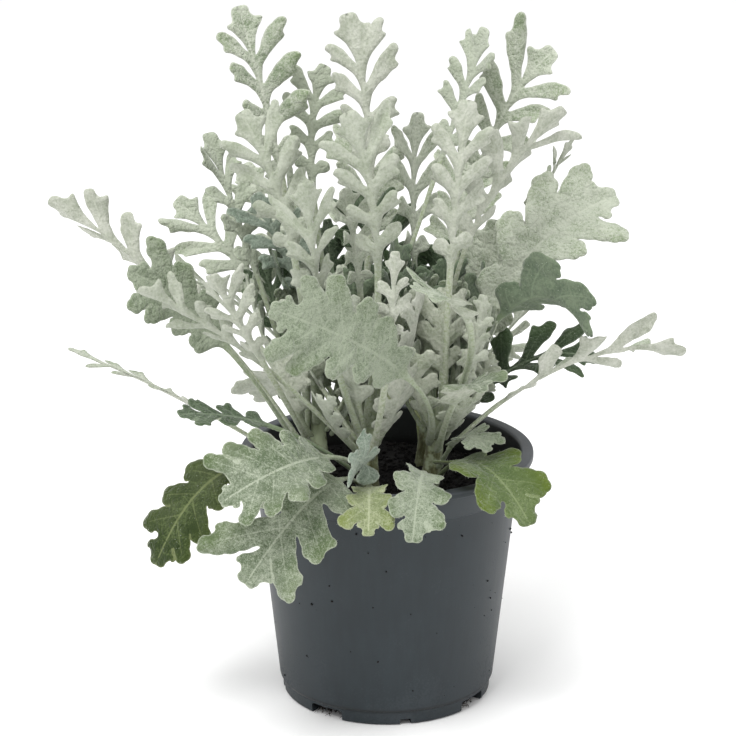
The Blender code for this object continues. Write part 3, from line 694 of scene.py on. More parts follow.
@dataclass(frozen=True)
class PlainFinish:
    """The screen colours and roughness of everything but the leaves."""

    base: tuple
    other: tuple
    third: tuple
    rough: float

    def pot(self) -> bpy.types.Material:
        """Satin moulded plastic, dusty and stained with peat inside, with painted shade as a dark line in
        the foot's step and a painted highlight on the rim's top.

        Returns:
            The material.
        """
        shading = Shading("pot_plastic")
        mix = shading.mix
        step = shading.step
        streaks = shading.noise(3.0, 3.0, 0.5, (1, 1, 0.08))
        cloud = shading.noise(22.0, 4.0, 0.6)
        grit = shading.noise(0.9, 3.0, 0.6)
        pits = shading.noise(0.28, 2.0, 0.5)
        height = shading.height()
        inside = shading.attribute("inside")
        foot = 1 - step(height, *FOOT_DUST)
        # Painted highlight: the rim's top is lightened towards the dust colour.
        rim_highlight = step(height, *RIM_HIGHLIGHT_STARTS)
        # Painted shade: a dark band in the step where the body meets the foot.
        step_shade = step(height, *STEP_SHADE_STARTS) * (1 - step(height, *STEP_SHADE_ENDS))
        dust = step(grit * 0.55 + cloud * 0.45 + foot * 0.12, 0.56, 0.70)
        stain = step(grit * 0.5 + cloud * 0.6 - step(height, *STAIN_FADES) * 0.25, 0.36, 0.52)
        colour = mix(step(streaks * 0.5 + cloud * 0.5, 0.34, 0.66), self.base, self.other)
        colour = mix(dust * 0.22, colour, self.third)
        # The painted highlight on the rim's top.
        colour = mix(rim_highlight * 0.62, colour, self.third)
        colour = mix(inside * (1 - rim_highlight), colour, mix(stain, INSIDE_PLASTIC, INSIDE_PEAT))
        # The painted shade in the foot's step, kept off the inside.
        colour = mix(step_shade * (0.45 + grit * 0.4) * (1 - inside), colour, STEP_SHADE_COLOUR)
        rough = self.rough + dust * 0.18 + streaks * 0.10
        shading.steady(Specular_IOR_Level=0.42)
        return shading.finish(colour, rough, pits * 0.35 + grit * 0.25 + streaks * 0.5, 0.16, 0.25)

    def soil(self, name: str) -> bpy.types.Material:
        """Moist peat, in three browns.

        Args:
            name: the material's name.

        Returns:
            The material.
        """
        shading = Shading(name)
        lump = shading.noise(3.2, 4.0, 0.65)
        grit = shading.noise(0.8, 4.0, 0.7)
        colour = shading.mix(shading.step(lump, 0.35, 0.65), self.base, self.other)
        colour = shading.mix(shading.step(grit, 0.60, 0.74) * 0.6, colour, self.third)
        shading.steady(Specular_IOR_Level=0.25)
        return shading.finish(colour, self.rough - grit * 0.15, lump * 0.6 + grit * 0.5, 0.9, 1.2)

    def stem(self) -> bpy.types.Material:
        """Bark with patches of felt, more of them higher up.

        Returns:
            The material.
        """
        shading = Shading("stem_bark")
        fibres = shading.noise(1.4, 4.0, 0.65, (1, 1, 0.25))
        patch = shading.noise(5.0, 3.0, 0.55)
        felt = patch + shading.step(shading.height(), 0.096, 0.118) * 0.3
        colour = shading.mix(shading.step(fibres, 0.36, 0.64), self.base, self.other)
        colour = shading.mix(shading.step(felt, 0.52, 0.72), colour, self.third)
        shading.steady(Sheen_Weight=0.15, Specular_IOR_Level=0.25)
        return shading.finish(colour, self.rough, fibres * 0.8 + patch * 0.3, 0.7, 0.6)

    def plain(
        self, name: str, cloud: float = 4.0, grain: float = 0.5, strength: float = 0.2, gloss: float = 0.2
    ) -> bpy.types.Material:
        """A colour that varies a little, for hairs, root threads and the floor.

        Args:
            name: the material's name.
            cloud: the size of the colour's clouds, in millimetres.
            grain: the size of the bump's grain, in millimetres.
            strength: how strong the bump is.
            gloss: the specular level.

        Returns:
            The material.
        """
        shading = Shading(name)
        colour = shading.mix(shading.noise(cloud), self.base, self.other)
        shading.steady(Specular_IOR_Level=gloss)
        return shading.finish(colour, self.rough, shading.noise(grain), strength, 0.1)


# Between which heights, in metres, each mark on the pot comes or goes, and the marks' colours: dust, the
# painted shade in the foot's step, the peat stain inside, and the painted highlight on the rim's top.
FOOT_DUST = (0.004, 0.030)
# Where the painted shade in the foot's step starts and ends.
STEP_SHADE_STARTS = (0.0050, 0.0060)
STEP_SHADE_ENDS = (0.0064, 0.0078)
STAIN_FADES = (0.088, 0.101)
# Where the painted highlight on the rim's top starts.
RIM_HIGHLIGHT_STARTS = (0.1026, 0.1036)
INSIDE_PLASTIC = (24, 27, 29)
INSIDE_PEAT = (9, 9, 9)
# The colour of the painted shade in the foot's step.
STEP_SHADE_COLOUR = (12, 14, 15)

# The finishes, in screen colours.
POT_FINISH = PlainFinish((23, 33, 38), (29, 39, 44), (76, 79, 84), 0.42)
SOIL_FINISH = PlainFinish((9, 8, 8), (17, 15, 13), (36, 31, 26), 0.97)
CRUMB_FINISH = PlainFinish((10, 9, 9), (22, 19, 17), (52, 44, 36), 0.98)
STEM_FINISH = PlainFinish((92, 92, 62), (128, 132, 98), (172, 182, 152), 0.85)
DOWN_FINISH = PlainFinish((214, 218, 206), (190, 198, 182), (255, 255, 255), 0.9)
ROOT_FINISH = PlainFinish((46, 39, 31), (27, 23, 19), (78, 66, 52), 0.9)
FLOOR_FINISH = PlainFinish((252, 252, 252), (248, 248, 248), (255, 255, 255), 0.9)


class Midrib:
    """The arc from a stem to a leaf's tip, with the leaf's side and upper directions along it."""

    def __init__(self, leaf: Leaf) -> None:
        """Lays out the arc.

        Args:
            leaf: the leaf.
        """
        axis, radius = stem_at(STEMS[leaf.stem], leaf.height)
        tip = Vector(leaf.end) if leaf.end else seen_place(leaf.across, leaf.up, leaf.depth)
        heading = (tip - axis).to_2d().normalized()
        root = axis + Vector((heading.x, heading.y, 0)) * (radius + CLEARANCE + STALK_THICKNESS * 0.5)
        control = root.lerp(tip, 0.5) + Vector(leaf.bow) * 2
        points = []
        for n in range(ARC_STEPS + 1):
            share = n / ARC_STEPS
            points.append(root.lerp(control, share).lerp(control.lerp(tip, share), share))
        lengths = [0.0]
        for before, after in zip(points, points[1:]):
            lengths.append(lengths[-1] + (after - before).length)
        self.root = root
        self.tip = points[-1]
        self.lengths = np.array(lengths)
        self.length = lengths[-1]
        face = Vector(leaf.face).normalized()
        sides = []
        uppers = []
        for n in range(len(points)):
            tangent = (points[min(ARC_STEPS, n + 1)] - points[max(0, n - 1)]).normalized()
            facing = min(1.0, 1.8 * n / ARC_STEPS)
            upper = Vector((-heading.x, -heading.y, 1.0)).lerp(face, facing)
            upper = (upper - tangent * upper.dot(tangent)).normalized()
            sides.append(tuple(tangent.cross(upper)))
            uppers.append(tuple(upper))
        self.frames = (np.array([tuple(p) for p in points]), np.array(sides), np.array(uppers))

    def at(self, along: np.ndarray) -> list[np.ndarray]:
        """The arc at these distances from the stem.

        Args:
            along: the distances.

        Returns:
            The arc's points, side directions and upper directions there.
        """
        along = np.clip(along, 0.0, self.length - 1e-4)
        n = np.clip(np.searchsorted(self.lengths, along, "right") - 1, 0, ARC_STEPS - 1)
        share = ((along - self.lengths[n]) / (self.lengths[n + 1] - self.lengths[n]))[:, None]
        return [rows[n] * (1 - share) + rows[n + 1] * share for rows in self.frames]


@dataclass(frozen=True)
class Lobe:
    """A lobe's side, 1 or -1, where its axis leaves the midrib, the axis's direction, and its length."""

    sign: int
    hub: Vector
    along: Vector
    reach: float

    def beside(self, x: np.ndarray, y: np.ndarray) -> tuple[np.ndarray, np.ndarray]:
        """Where points lie from the lobe's axis, as if all were on its side.

        Args:
            x, y: the points of the plan.

        Returns:
            How far each lies along the axis, and how far beside it.
        """
        away_x = np.abs(x) - self.hub.x
        away_y = y - self.hub.y
        reached = away_x * self.along.x + away_y * self.along.y
        return reached, np.hypot(away_x - self.along.x * reached, away_y - self.along.y * reached)


class Plan:
    """A leaf laid flat, with y along its midrib: its outline and the axes of its lobes."""

    def __init__(self, leaf: Leaf, length: float, seed: int) -> None:
        """Draws the outline.

        Args:
            leaf: the leaf.
            length: its length along the midrib, with its stalk.
            seed: what the lobes' unevenness is drawn from.
        """
        self.form = FORMS[leaf.form]
        self.stalk = max(SHORTEST_STALK, length - leaf.blade)
        self.blade = length - self.stalk
        self.half = leaf.width / 2
        self.random = random.Random(seed * 101)
        self.lobes: list[Lobe] = []
        right = self.side(1)
        left = self.side(-1)
        self.loop = right + self.end_lobe() + [(-x, y) for x, y in reversed(left)]

    def lobe_axis(self, index: int, sign: int) -> tuple[float, float, float]:
        """The axis of one lobe.

        Args:
            index: the lobe's number from the stalk.
            sign: its side, 1 or -1.

        Returns:
            Where it leaves the midrib, the angle that it makes with it, and its length.
        """
        form = self.form
        share = (index + (0.0 if sign > 0 else LOBE_STAGGER)) / form.pairs
        root = self.stalk + self.blade * (LOBES_FROM + LOBES_OVER * share**LOBES_CROWD)
        slant = math.radians(lerp(form.slant[0], form.slant[1], share))
        swell = 1 - FOOT_NARROWS * (1 - share) ** 2.4 - TIP_NARROWS * share**3
        return root, slant, self.half * swell / math.sin(slant)

    def side(self, sign: int) -> list[tuple[float, float]]:
        """The outline of one side, mirrored to positive x.

        Args:
            sign: the side, 1 or -1.

        Returns:
            Its points, from the stalk's foot to the end lobe.
        """
        form = self.form
        points = [(STALK_BASE_HALF_WIDTH, 0.0)]
        points += [(STALK_HALF_WIDTH, self.stalk * share) for share in STALK_STATIONS]
        for index in range(form.pairs):
            root, slant, reach = self.lobe_axis(index, sign)
            following, _, _ = self.lobe_axis(index + 1, sign)
            reach *= self.random.uniform(*REACH_RANGE)
            slant *= self.random.uniform(*SLANT_RANGE)
            spread = (following - root) * math.sin(slant)
            fan = math.radians((form.slant[0] - form.slant[1]) / form.pairs)
            half = form.tooth * (spread + 0.8 * reach * fan)
            neck = form.neck * spread
            along = Vector((math.sin(slant), math.cos(slant)))
            across = Vector((-math.cos(slant), math.sin(slant)))
            hub = Vector((0.0, root))
            gap = form.wing / math.sin(slant) + form.web * reach
            self.lobes.append(Lobe(sign, hub, along, reach))
            kind = "round" if form.web > ROUND_FROM_WEB else ("plain", "notched", "toothed")[min(index, 2)]
            if form.web == 0:
                points.append(tuple(hub + along * gap - across * neck))
            for a, b in LOBES[kind]:
                points.append(tuple(hub + along * max(reach * a, gap + 1.0 + a) + across * half * b))
            points.append(tuple(hub + along * gap + across * (neck if form.web == 0 else spread * 0.5)))
        return points

    def end_lobe(self) -> list[tuple[float, float]]:
        """The lobe at the tip.

        Returns:
            Its points, from its right foot over its teeth to its left foot.
        """
        start = self.stalk + self.blade * (1 - self.form.end)
        reach = self.blade * self.form.end
        half = min(reach * 0.56, self.half * 0.62)
        right = [(half * b, start + reach * a) for a, b in END_LOBE]
        return right + [(-x, y) for x, y in reversed(right)]

    def coarse(self) -> tuple[np.ndarray, list[tuple]]:
        """The plan of the leaf's solid.

        Returns:
            Its points and triangles.
        """
        stations = self.form.pairs + 1
        ribs = [(0.0, self.stalk + self.blade * 0.9 * (n + 0.3) / stations) for n in range(stations)]
        return triangulated(np.array(self.loop), np.array(ribs))

    def eased(self, outline: np.ndarray) -> np.ndarray:
        """Makes the lobes blunt and round, most of all on a broad leaf.

        Args:
            outline: the points of the outline.

        Returns:
            The moved points.
        """
        passes = EASE_BROAD if self.form.web > 0 else EASE_CUT
        on_blade = np.clip((np.abs(outline[:, 0]) - STALK_BASE_HALF_WIDTH) / 1.5, 0, 1)[:, None]
        for _ in range(passes):
            near = (np.roll(outline, 1, axis=0) + np.roll(outline, -1, axis=0)) / 2
            outline = outline + (near - outline) * 0.5 * on_blade
        return outline

    def wavered(self, outline: np.ndarray) -> np.ndarray:
        """Adds the blade's small scallops and unevenness, and a little width where the outline is convex.

        Args:
            outline: the points of the outline.

        Returns:
            The moved points.
        """
        before = np.roll(outline, 1, axis=0)
        ahead = np.roll(outline, -1, axis=0) - before
        ahead /= np.maximum(np.linalg.norm(ahead, axis=1), 1e-9)[:, None]
        out = np.stack([ahead[:, 1], -ahead[:, 0]], axis=1)
        along = np.cumsum(np.linalg.norm(outline - before, axis=1))
        count = max(1, round(along[-1] / SCALLOP_LENGTH))
        scallop = np.abs(np.sin(along / along[-1] * math.pi * count)) - 0.5
        uneven = np.array([noise.noise((a / 4.0, self.blade, 0.5)) for a in along])
        on_blade = np.clip((outline[:, 1] - self.stalk - 2) / 5, 0, 1)
        on_blade *= np.clip(np.abs(outline[:, 0]) / 4, 0, 1)
        deep = SCALLOP_DEPTH if self.form.web > 0 else SCALLOP_DEPTH * 0.35
        spare = EASE_SPARE if self.form.web > 0 else 0.0
        come = outline - np.roll(outline, 3, axis=0)
        go = np.roll(outline, -3, axis=0) - outline
        turn = come[:, 0] * go[:, 1] - come[:, 1] * go[:, 0]
        turn /= np.maximum(np.linalg.norm(come, axis=1) * np.linalg.norm(go, axis=1), 1e-9)
        outward = np.clip(0.5 + 2.0 * turn, 0, 1)
        moved = (scallop * deep + spare) * outward + uneven * UNEVEN_DEPTH
        return outline + out * (moved * on_blade)[:, None]

    def fine(self) -> tuple[np.ndarray, list[tuple], np.ndarray]:
        """The plan of the rebuilt leaf.

        Returns:
            Its points, its triangles, and each point's distance from the margin.
        """
        outline = rounded_loop(np.array(self.loop), FINE_STEP)
        outline = self.wavered(self.eased(outline))
        ribs = [(0.0, y) for y in np.arange(1.0, self.stalk + self.blade * 0.94, FINE_STEP)]
        for lobe in self.lobes:
            for reached in np.arange(FINE_STEP, lobe.reach * 0.9, FINE_STEP):
                across = lobe.sign * (lobe.hub.x + lobe.along.x * reached)
                ribs.append((across, lobe.hub.y + lobe.along.y * reached))
        low = outline.min(axis=0)
        high = outline.max(axis=0)
        grid = []
        for n, y in enumerate(np.arange(low[1], high[1], FINE_STEP * 0.87)):
            shift = FINE_STEP / 2 if n % 2 else 0.0
            grid += [(x + shift, y) for x in np.arange(low[0], high[0], FINE_STEP)]
        ribs = np.array(ribs)
        grid = np.array(grid)
        ribs = ribs[inside(ribs, outline) & (far_from(ribs, outline) > 0.45)]
        grid = grid[inside(grid, outline) & (far_from(grid, outline) > FINE_STEP * 0.45)]
        apart = np.sqrt(((grid[:, None] - ribs[None]) ** 2).sum(axis=2)).min(axis=1)
        grid = grid[apart > FINE_STEP * 0.55]
        points, faces = triangulated(outline, np.vstack([ribs, grid]))
        return points, faces, far_from(points, outline)


def triangulated(outline: np.ndarray, within: np.ndarray) -> tuple[np.ndarray, list[tuple]]:
    """Triangles over an outline, with these points inside it.

    Args:
        outline: the corners of the outline in order.
        within: the points inside it.

    Returns:
        The points and the triangles.
    """
    count = len(outline)
    points = [Vector(p) for p in outline] + [Vector(p) for p in within]
    edges = [(n, (n + 1) % count) for n in range(count)]
    made = delaunay_2d_cdt(points, edges, [], 1, 1e-5)
    return np.array([tuple(p) for p in made[0]]), [tuple(f) for f in made[2]]


def rounded_loop(loop: np.ndarray, most: float) -> np.ndarray:
    """Cuts a loop's corners twice, so that it curves.

    Args:
        loop: its corners in order.
        most: the longest step that it may have.

    Returns:
        The points of the curved loop.
    """
    for share in (0.2, 0.25):
        following = np.roll(loop, -1, axis=0)
        near = loop * (1 - share) + following * share
        far = loop * share + following * (1 - share)
        loop = np.stack([near, far], axis=1).reshape(-1, 2)
    made = []
    for point, following in zip(loop, np.roll(loop, -1, axis=0)):
        steps = max(1, int(np.ceil(np.linalg.norm(following - point) / most)))
        made += [point + (following - point) * n / steps for n in range(steps)]
    return np.array(made)


def far_from(points: np.ndarray, outline: np.ndarray) -> np.ndarray:
    """How far points lie from an outline.

    Args:
        points: the points.
        outline: the corners of the outline in order.

    Returns:
        Each point's distance.
    """
    nearest = np.full(len(points), 1e9)
    for a, b in zip(outline, np.roll(outline, -1, axis=0)):
        edge = b - a
        share = np.clip(((points - a) @ edge) / max(edge @ edge, 1e-12), 0, 1)
        nearest = np.minimum(nearest, np.linalg.norm(points - a - share[:, None] * edge, axis=1))
    return nearest


def inside(points: np.ndarray, outline: np.ndarray) -> np.ndarray:
    """Which points lie inside an outline.

    Args:
        points: the points.
        outline: the corners of the outline in order.

    Returns:
        True for each point that does.
    """
    found = np.zeros(len(points), bool)
    for (ax, ay), (bx, by) in zip(outline, np.roll(outline, -1, axis=0)):
        spans = (ay > points[:, 1]) != (by > points[:, 1])
        if ay != by:
            found ^= spans & (points[:, 0] < (bx - ax) * (points[:, 1] - ay) / (by - ay) + ax)
    return found


def boundary(faces: list[tuple]) -> list[tuple[int, int]]:
    """The directed edges that belong to one face only."""
    edges = {(f[n], f[(n + 1) % 3]) for f in faces for n in range(3)}
    return [(a, b) for a, b in edges if (b, a) not in edges]


def vertex_normals(points: np.ndarray, faces: list[tuple]) -> np.ndarray:
    """The normals of a surface.

    Args:
        points: its points.
        faces: its triangles.

    Returns:
        A unit normal at each point.
    """
    a, b, c = (points[column] for column in np.array(faces).T)
    crossed = np.cross(b - a, c - a)
    normals = np.zeros_like(points)
    for column in np.array(faces).T:
        np.add.at(normals, column, crossed)
    return normals / np.maximum(np.linalg.norm(normals, axis=1), 1e-12)[:, None]


def turns_by_size() -> list[tuple]:
    """Every turn that a leaf's solid may have been given.

    Returns:
        The turns, sideways, up, about the leaf's length and lifted, with the smallest first.
    """
    found = []
    for turn in itertools.product(TURN_SIDEWAYS, TURN_UPWARDS, TURN_ROLLED, TURN_LIFTED):
        sideways, upwards, rolled, lifted = turn
        size = abs(sideways) + abs(upwards) * 1.2 + abs(rolled) * 0.3 + abs(lifted)
        found.append((size, *turn))
    return [turn[1:] for turn in sorted(found)]


TURNS = turns_by_size()


class Growth:
    """Bends a leaf's flat plan into the place where it grows."""

    def __init__(self, leaf: Leaf, seed: int) -> None:
        """Lays out the leaf's midrib and plan.

        Args:
            leaf: the leaf.
            seed: what its unevenness is drawn from.
        """
        self.leaf = leaf
        self.midrib = Midrib(leaf)
        self.plan = Plan(leaf, self.midrib.length, seed)
        chance = random.Random(seed * 57 + 11)
        curly = self.plan.form.curly
        self.tilts = [chance.uniform(-curly, curly) for _ in self.plan.lobes]
        self.wave = chance.uniform(0, 2 * math.pi)

    def lift(self, x: np.ndarray, y: np.ndarray) -> np.ndarray:
        """How far the fold, the lobes' tilt, the curl and the waves lift points off the midrib's plane.

        Args:
            x, y: the points of the plan.

        Returns:
            The height of each.
        """
        leaf = self.leaf
        out = np.abs(x)
        fold = math.tan(math.radians(leaf.fold)) * (np.hypot(out, FOLD_ROUNDING) - FOLD_ROUNDING)
        weights = np.zeros_like(x)
        tilt = np.zeros_like(x)
        for lobe, slope in zip(self.plan.lobes, self.tilts):
            reached, beside = lobe.beside(x, y)
            weight = np.exp(-((beside / LOBE_TILT_WIDTH) ** 2)) * (lobe.sign * x >= 0)
            weights += weight
            tilt += weight * slope * np.maximum(0.0, reached - LOBE_TILT_FROM)
        tilt = tilt / np.maximum(weights, 1e-6) * np.minimum(1.0, weights)
        curl = leaf.curl * self.plan.half * (out / self.plan.half) ** 2
        side = np.where(x > 0, 1.3, 0.0)
        ripple = WAVE_HEIGHT * np.sin(y / WAVE_LENGTH + self.wave + side) * np.minimum(1.0, out / 8.0)
        return fold + tilt + curl + ripple

    def on_blade(self, y: np.ndarray) -> np.ndarray:
        """How far points have come from the stalk's thickness, 0, to the blade's, 1."""
        return np.clip((y - self.plan.stalk * BLADE_START) / (BLADE_THINS_OVER * self.plan.blade), 0, 1)

    def place(self, plan: np.ndarray) -> np.ndarray:
        """The leaf's middle surface.

        Args:
            plan: points of the plan.

        Returns:
            The points of the surface that stand for them.
        """
        x, y = plan[:, 0], plan[:, 1]
        centre, side, upper = self.midrib.at(y)
        pull = np.cos(math.radians(self.leaf.fold) * np.minimum(1.0, np.abs(x) / 6.0))
        return centre + side * (x * pull)[:, None] + upper * self.lift(x, y)[:, None]

    def coarse_points(self) -> np.ndarray:
        """The leaf's solid before it is turned clear of its neighbours.

        Returns:
            Its corners.
        """
        plan, faces = self.plan.coarse()
        middle = self.place(plan)
        normals = vertex_normals(middle, faces)
        on_blade = self.on_blade(plan[:, 1])
        half = (STALK_THICKNESS + (BLADE_THICKNESS - STALK_THICKNESS) * on_blade) / 2
        rib = RIB_HEIGHT * (1 - 0.65 * np.maximum(0.0, plan[:, 1] - self.plan.stalk) / self.plan.blade)
        lower = half + np.where(np.abs(plan[:, 0]) < 0.01, rib * on_blade, 0.0)
        return np.vstack([middle + normals * half[:, None], middle - normals * lower[:, None]])

    def turned(self, points: np.ndarray, turn: tuple) -> np.ndarray:
        """Turns points about the leaf's foot.

        Args:
            points: the points.
            turn: how far sideways, up and about the leaf's own length, and how far lifted.

        Returns:
            The moved points.
        """
        sideways, upwards, rolled, lifted = turn
        root = np.array(self.midrib.root)
        chord = (self.midrib.tip - self.midrib.root).normalized()
        level = chord.cross(Vector((0, 0, 1))).normalized()
        matrix = (
            Matrix.Rotation(math.radians(sideways), 3, "Z")
            @ Matrix.Rotation(math.radians(upwards), 3, level)
            @ Matrix.Rotation(math.radians(rolled), 3, chord)
        )
        return (points - root) @ np.array(matrix).T + root + np.array((0, 0, lifted))

    def turn_of(self, node: str) -> tuple:
        """The turn that the leaf's solid was given, found from the solid's box.

        Args:
            node: the solid.

        Returns:
            The turn.
        """
        low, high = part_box(node)
        wanted = np.array([*low, *high]) / MM
        points = self.coarse_points()
        best = (1e9, TURNS[0])
        for turn in TURNS:
            moved = self.turned(points, turn)
            off = np.abs(np.concatenate([moved.min(axis=0), moved.max(axis=0)]) - wanted).max()
            best = min(best, (off, turn))
            if off < MATCH_WITHIN:
                break
        if best[0] > MATCH_WITHIN:
            LOG.warning("%s: nearest turn is off by %.2f mm", node, best[0])
        return best[1]


def young_leaves(name: str, stem: Stem, seed: int) -> list[Leaf]:
    """The small young leaves that crowd round a stem's top, turned by the golden angle.

    Args:
        name: the stem's name.
        stem: the stem.
        seed: what their unevenness is drawn from.

    Returns:
        The leaves, each with its own end.
    """
    chance = random.Random(seed * 7)
    found = []
    for n in range(YOUNG_COUNT):
        height = stem.height - 1.5 - n * YOUNG_DROP
        axis, _ = stem_at(stem, height)
        turned = seed * 1.3 + n * GOLDEN_ANGLE
        rise = math.radians(lerp(86, 48, n / YOUNG_COUNT) + chance.uniform(-6, 6))
        length = lerp(YOUNG_SHORTEST, YOUNG_LONGEST, math.sin(math.pi * (n + 1.5) / (YOUNG_COUNT + 2)))
        out = Vector((math.cos(turned), math.sin(turned), 0))
        up = Vector((0, 0, 1))
        end = axis + (out * math.cos(rise) + up * math.sin(rise)) * length * chance.uniform(0.85, 1.15)
        face = tuple(up * math.cos(rise) - out * math.sin(rise))
        blade = min(length * 0.66, YOUNG_BLADE)
        bow = tuple(out * 3)
        young = Leaf(name, height, 0, 0, 0, blade, blade * 0.8, "young", face, bow, 18, end=tuple(end))
        found.append(young)
    return found


def around(radius: float, angle: float, height: float) -> tuple[float, float, float]:
    """The point at this radius, angle and height about the z axis."""
    return radius * math.cos(angle), radius * math.sin(angle), height


def circle(radius: float, height: float, sides: int) -> list[tuple]:
    """The points of a level circle about the z axis."""
    return [around(radius, 2 * math.pi * n / sides, height) for n in range(sides)]


def numbered(rows: int, sides: int) -> list[list[int]]:
    """The numbers of the points of this many rows, each of this many points."""
    return [list(range(row * sides, (row + 1) * sides)) for row in range(rows)]


def bands(rows: list[list[int]]) -> list[list[int]]:
    """Bands of faces that join rows of points, each closed round.

    Args:
        rows: the numbers of each row's points, the same count in each.

    Returns:
        The faces, as triangles where a row is one point.
    """
    faces = []
    for row, following in zip(rows, rows[1:]):
        for n in range(len(row)):
            m = (n + 1) % len(row)
            face = list(dict.fromkeys((row[n], row[m], following[m], following[n])))
            if len(face) > 2:
                faces.append(face)
    return faces


def turned_mesh(profile: list, sides: int) -> tuple[np.ndarray, list]:
    """A profile turned about the z axis.

    Args:
        profile: its points, as (radius, height).
        sides: how many sides a turn has.

    Returns:
        The points and the faces.
    """
    points = []
    rows = []
    for radius, height in profile:
        row = circle(radius, height, sides if radius > 1e-6 else 1)
        rows.append([len(points) + n % len(row) for n in range(sides)])
        points += row
    return np.array(points), bands(rows)


def linked(name: str, mesh: bpy.types.ID) -> bpy.types.Object:
    """Puts an object in the scene.

    Args:
        name: the object's name.
        mesh: its mesh, light or camera.

    Returns:
        The object.
    """
    made = bpy.data.objects.new(name, mesh)
    bpy.context.scene.collection.objects.link(made)
    return made


def new_object(name: str, points: np.ndarray, faces: list, smooth: bool = True) -> bpy.types.Object:
    """A mesh object in metres.

    Args:
        name: its name.
        points: its points, in millimetres.
        faces: its faces.
        smooth: whether its faces are shaded smooth.

    Returns:
        The object.
    """
    mesh = bpy.data.meshes.new(name)
    mesh.from_pydata((np.asarray(points) * MM).tolist(), [], [list(f) for f in faces])
    mesh.update()
    mesh.polygons.foreach_set("use_smooth", [smooth] * len(mesh.polygons))
    return linked(name, mesh)


def unlinked(name: str, shape: bmesh.types.BMesh) -> bpy.types.Object:
    """Makes an object that stays outside the scene.

    Args:
        name: the object's name.
        shape: its shape, which is used up.

    Returns:
        The object.
    """
    mesh = bpy.data.meshes.new(name)
    shape.to_mesh(mesh)
    shape.free()
    return bpy.data.objects.new(name, mesh)


def store(made: bpy.types.Object, name: str, values: np.ndarray) -> None:
    """Stores a number on each point of the mesh."""
    attribute = made.data.attributes.new(name, "FLOAT", "POINT")
    attribute.data.foreach_set("value", np.asarray(values, np.float32))


def apply_modifiers(made: bpy.types.Object) -> None:
    """Makes what an object's modifiers give its own mesh.

    Args:
        made: the object.
    """
    graph = bpy.context.evaluated_depsgraph_get()
    mesh = bpy.data.meshes.new_from_object(made.evaluated_get(graph))
    made.modifiers.clear()
    made.data = mesh


def settle(made: bpy.types.Object, nodes: list[str], work: str) -> None:
    """Applies what modifiers the piece has, and says what it rides on and stands for.

    Args:
        made: the piece.
        nodes: the solids that it stands for.
        work: what was done, for the log.
    """
    if made.modifiers:
        apply_modifiers(made)
    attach(made, "root")
    if nodes:
        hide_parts(*nodes)
    LOG.info("%s: %s, %d faces", made.name, work, len(made.data.polygons))


class Nodes(Tree):
    """A geometry node tree, with a geometry input and output and named inputs."""

    def __init__(self, name: str, **inputs: str) -> None:
        """Starts the tree.

        Args:
            name: its name.
            inputs: the kind of each of its named inputs.
        """
        super().__init__(bpy.data.node_groups.new(name, "GeometryNodeTree"))
        self.identifiers: dict[str, str] = {}
        self.takes("Geometry", "Geometry", "INPUT")
        self.takes("Geometry", "Geometry", "OUTPUT")
        for key, kind in inputs.items():
            self.takes(key, kind, "INPUT")
        self.given = self.tree.nodes.new("NodeGroupInput").outputs
        self.end = self.tree.nodes.new("NodeGroupOutput")

    def takes(self, name: str, kind: str, way: str) -> None:
        """Adds a named input or output."""
        socket = self.tree.interface.new_socket(name, in_out=way, socket_type=f"NodeSocket{kind}")
        self.identifiers[name] = socket.identifier

    def scattered(self, density: bpy.types.NodeSocket) -> bpy.types.Node:
        """Points over the faces, this many to a square metre."""
        inputs = {"Mesh": self.given["Geometry"], "Density": density, "Seed": self.given["Seed"]}
        return self.node("GeometryNodeDistributePointsOnFaces", inputs)

    def coloured(self, geometry: bpy.types.NodeSocket) -> bpy.types.NodeSocket:
        """Makes what the tree grew real, in the finish that it is given.

        Args:
            geometry: what it grew.

        Returns:
            The output that holds the real, coloured geometry.
        """
        real = self.node("GeometryNodeRealizeInstances", {0: geometry})
        inputs = {"Geometry": real.outputs[0], "Material": self.given["Finish"]}
        return self.node("GeometryNodeSetMaterial", inputs).outputs[0]

    def use_on(self, made: bpy.types.Object, **values: object) -> None:
        """Puts the tree on an object.

        Args:
            made: the object.
            values: what its named inputs hold, which are set by their identifiers.
        """
        modifier = made.modifiers.new(self.tree.name, "NODES")
        modifier.node_group = self.tree
        for name, value in values.items():
            modifier[self.identifiers[name]] = value


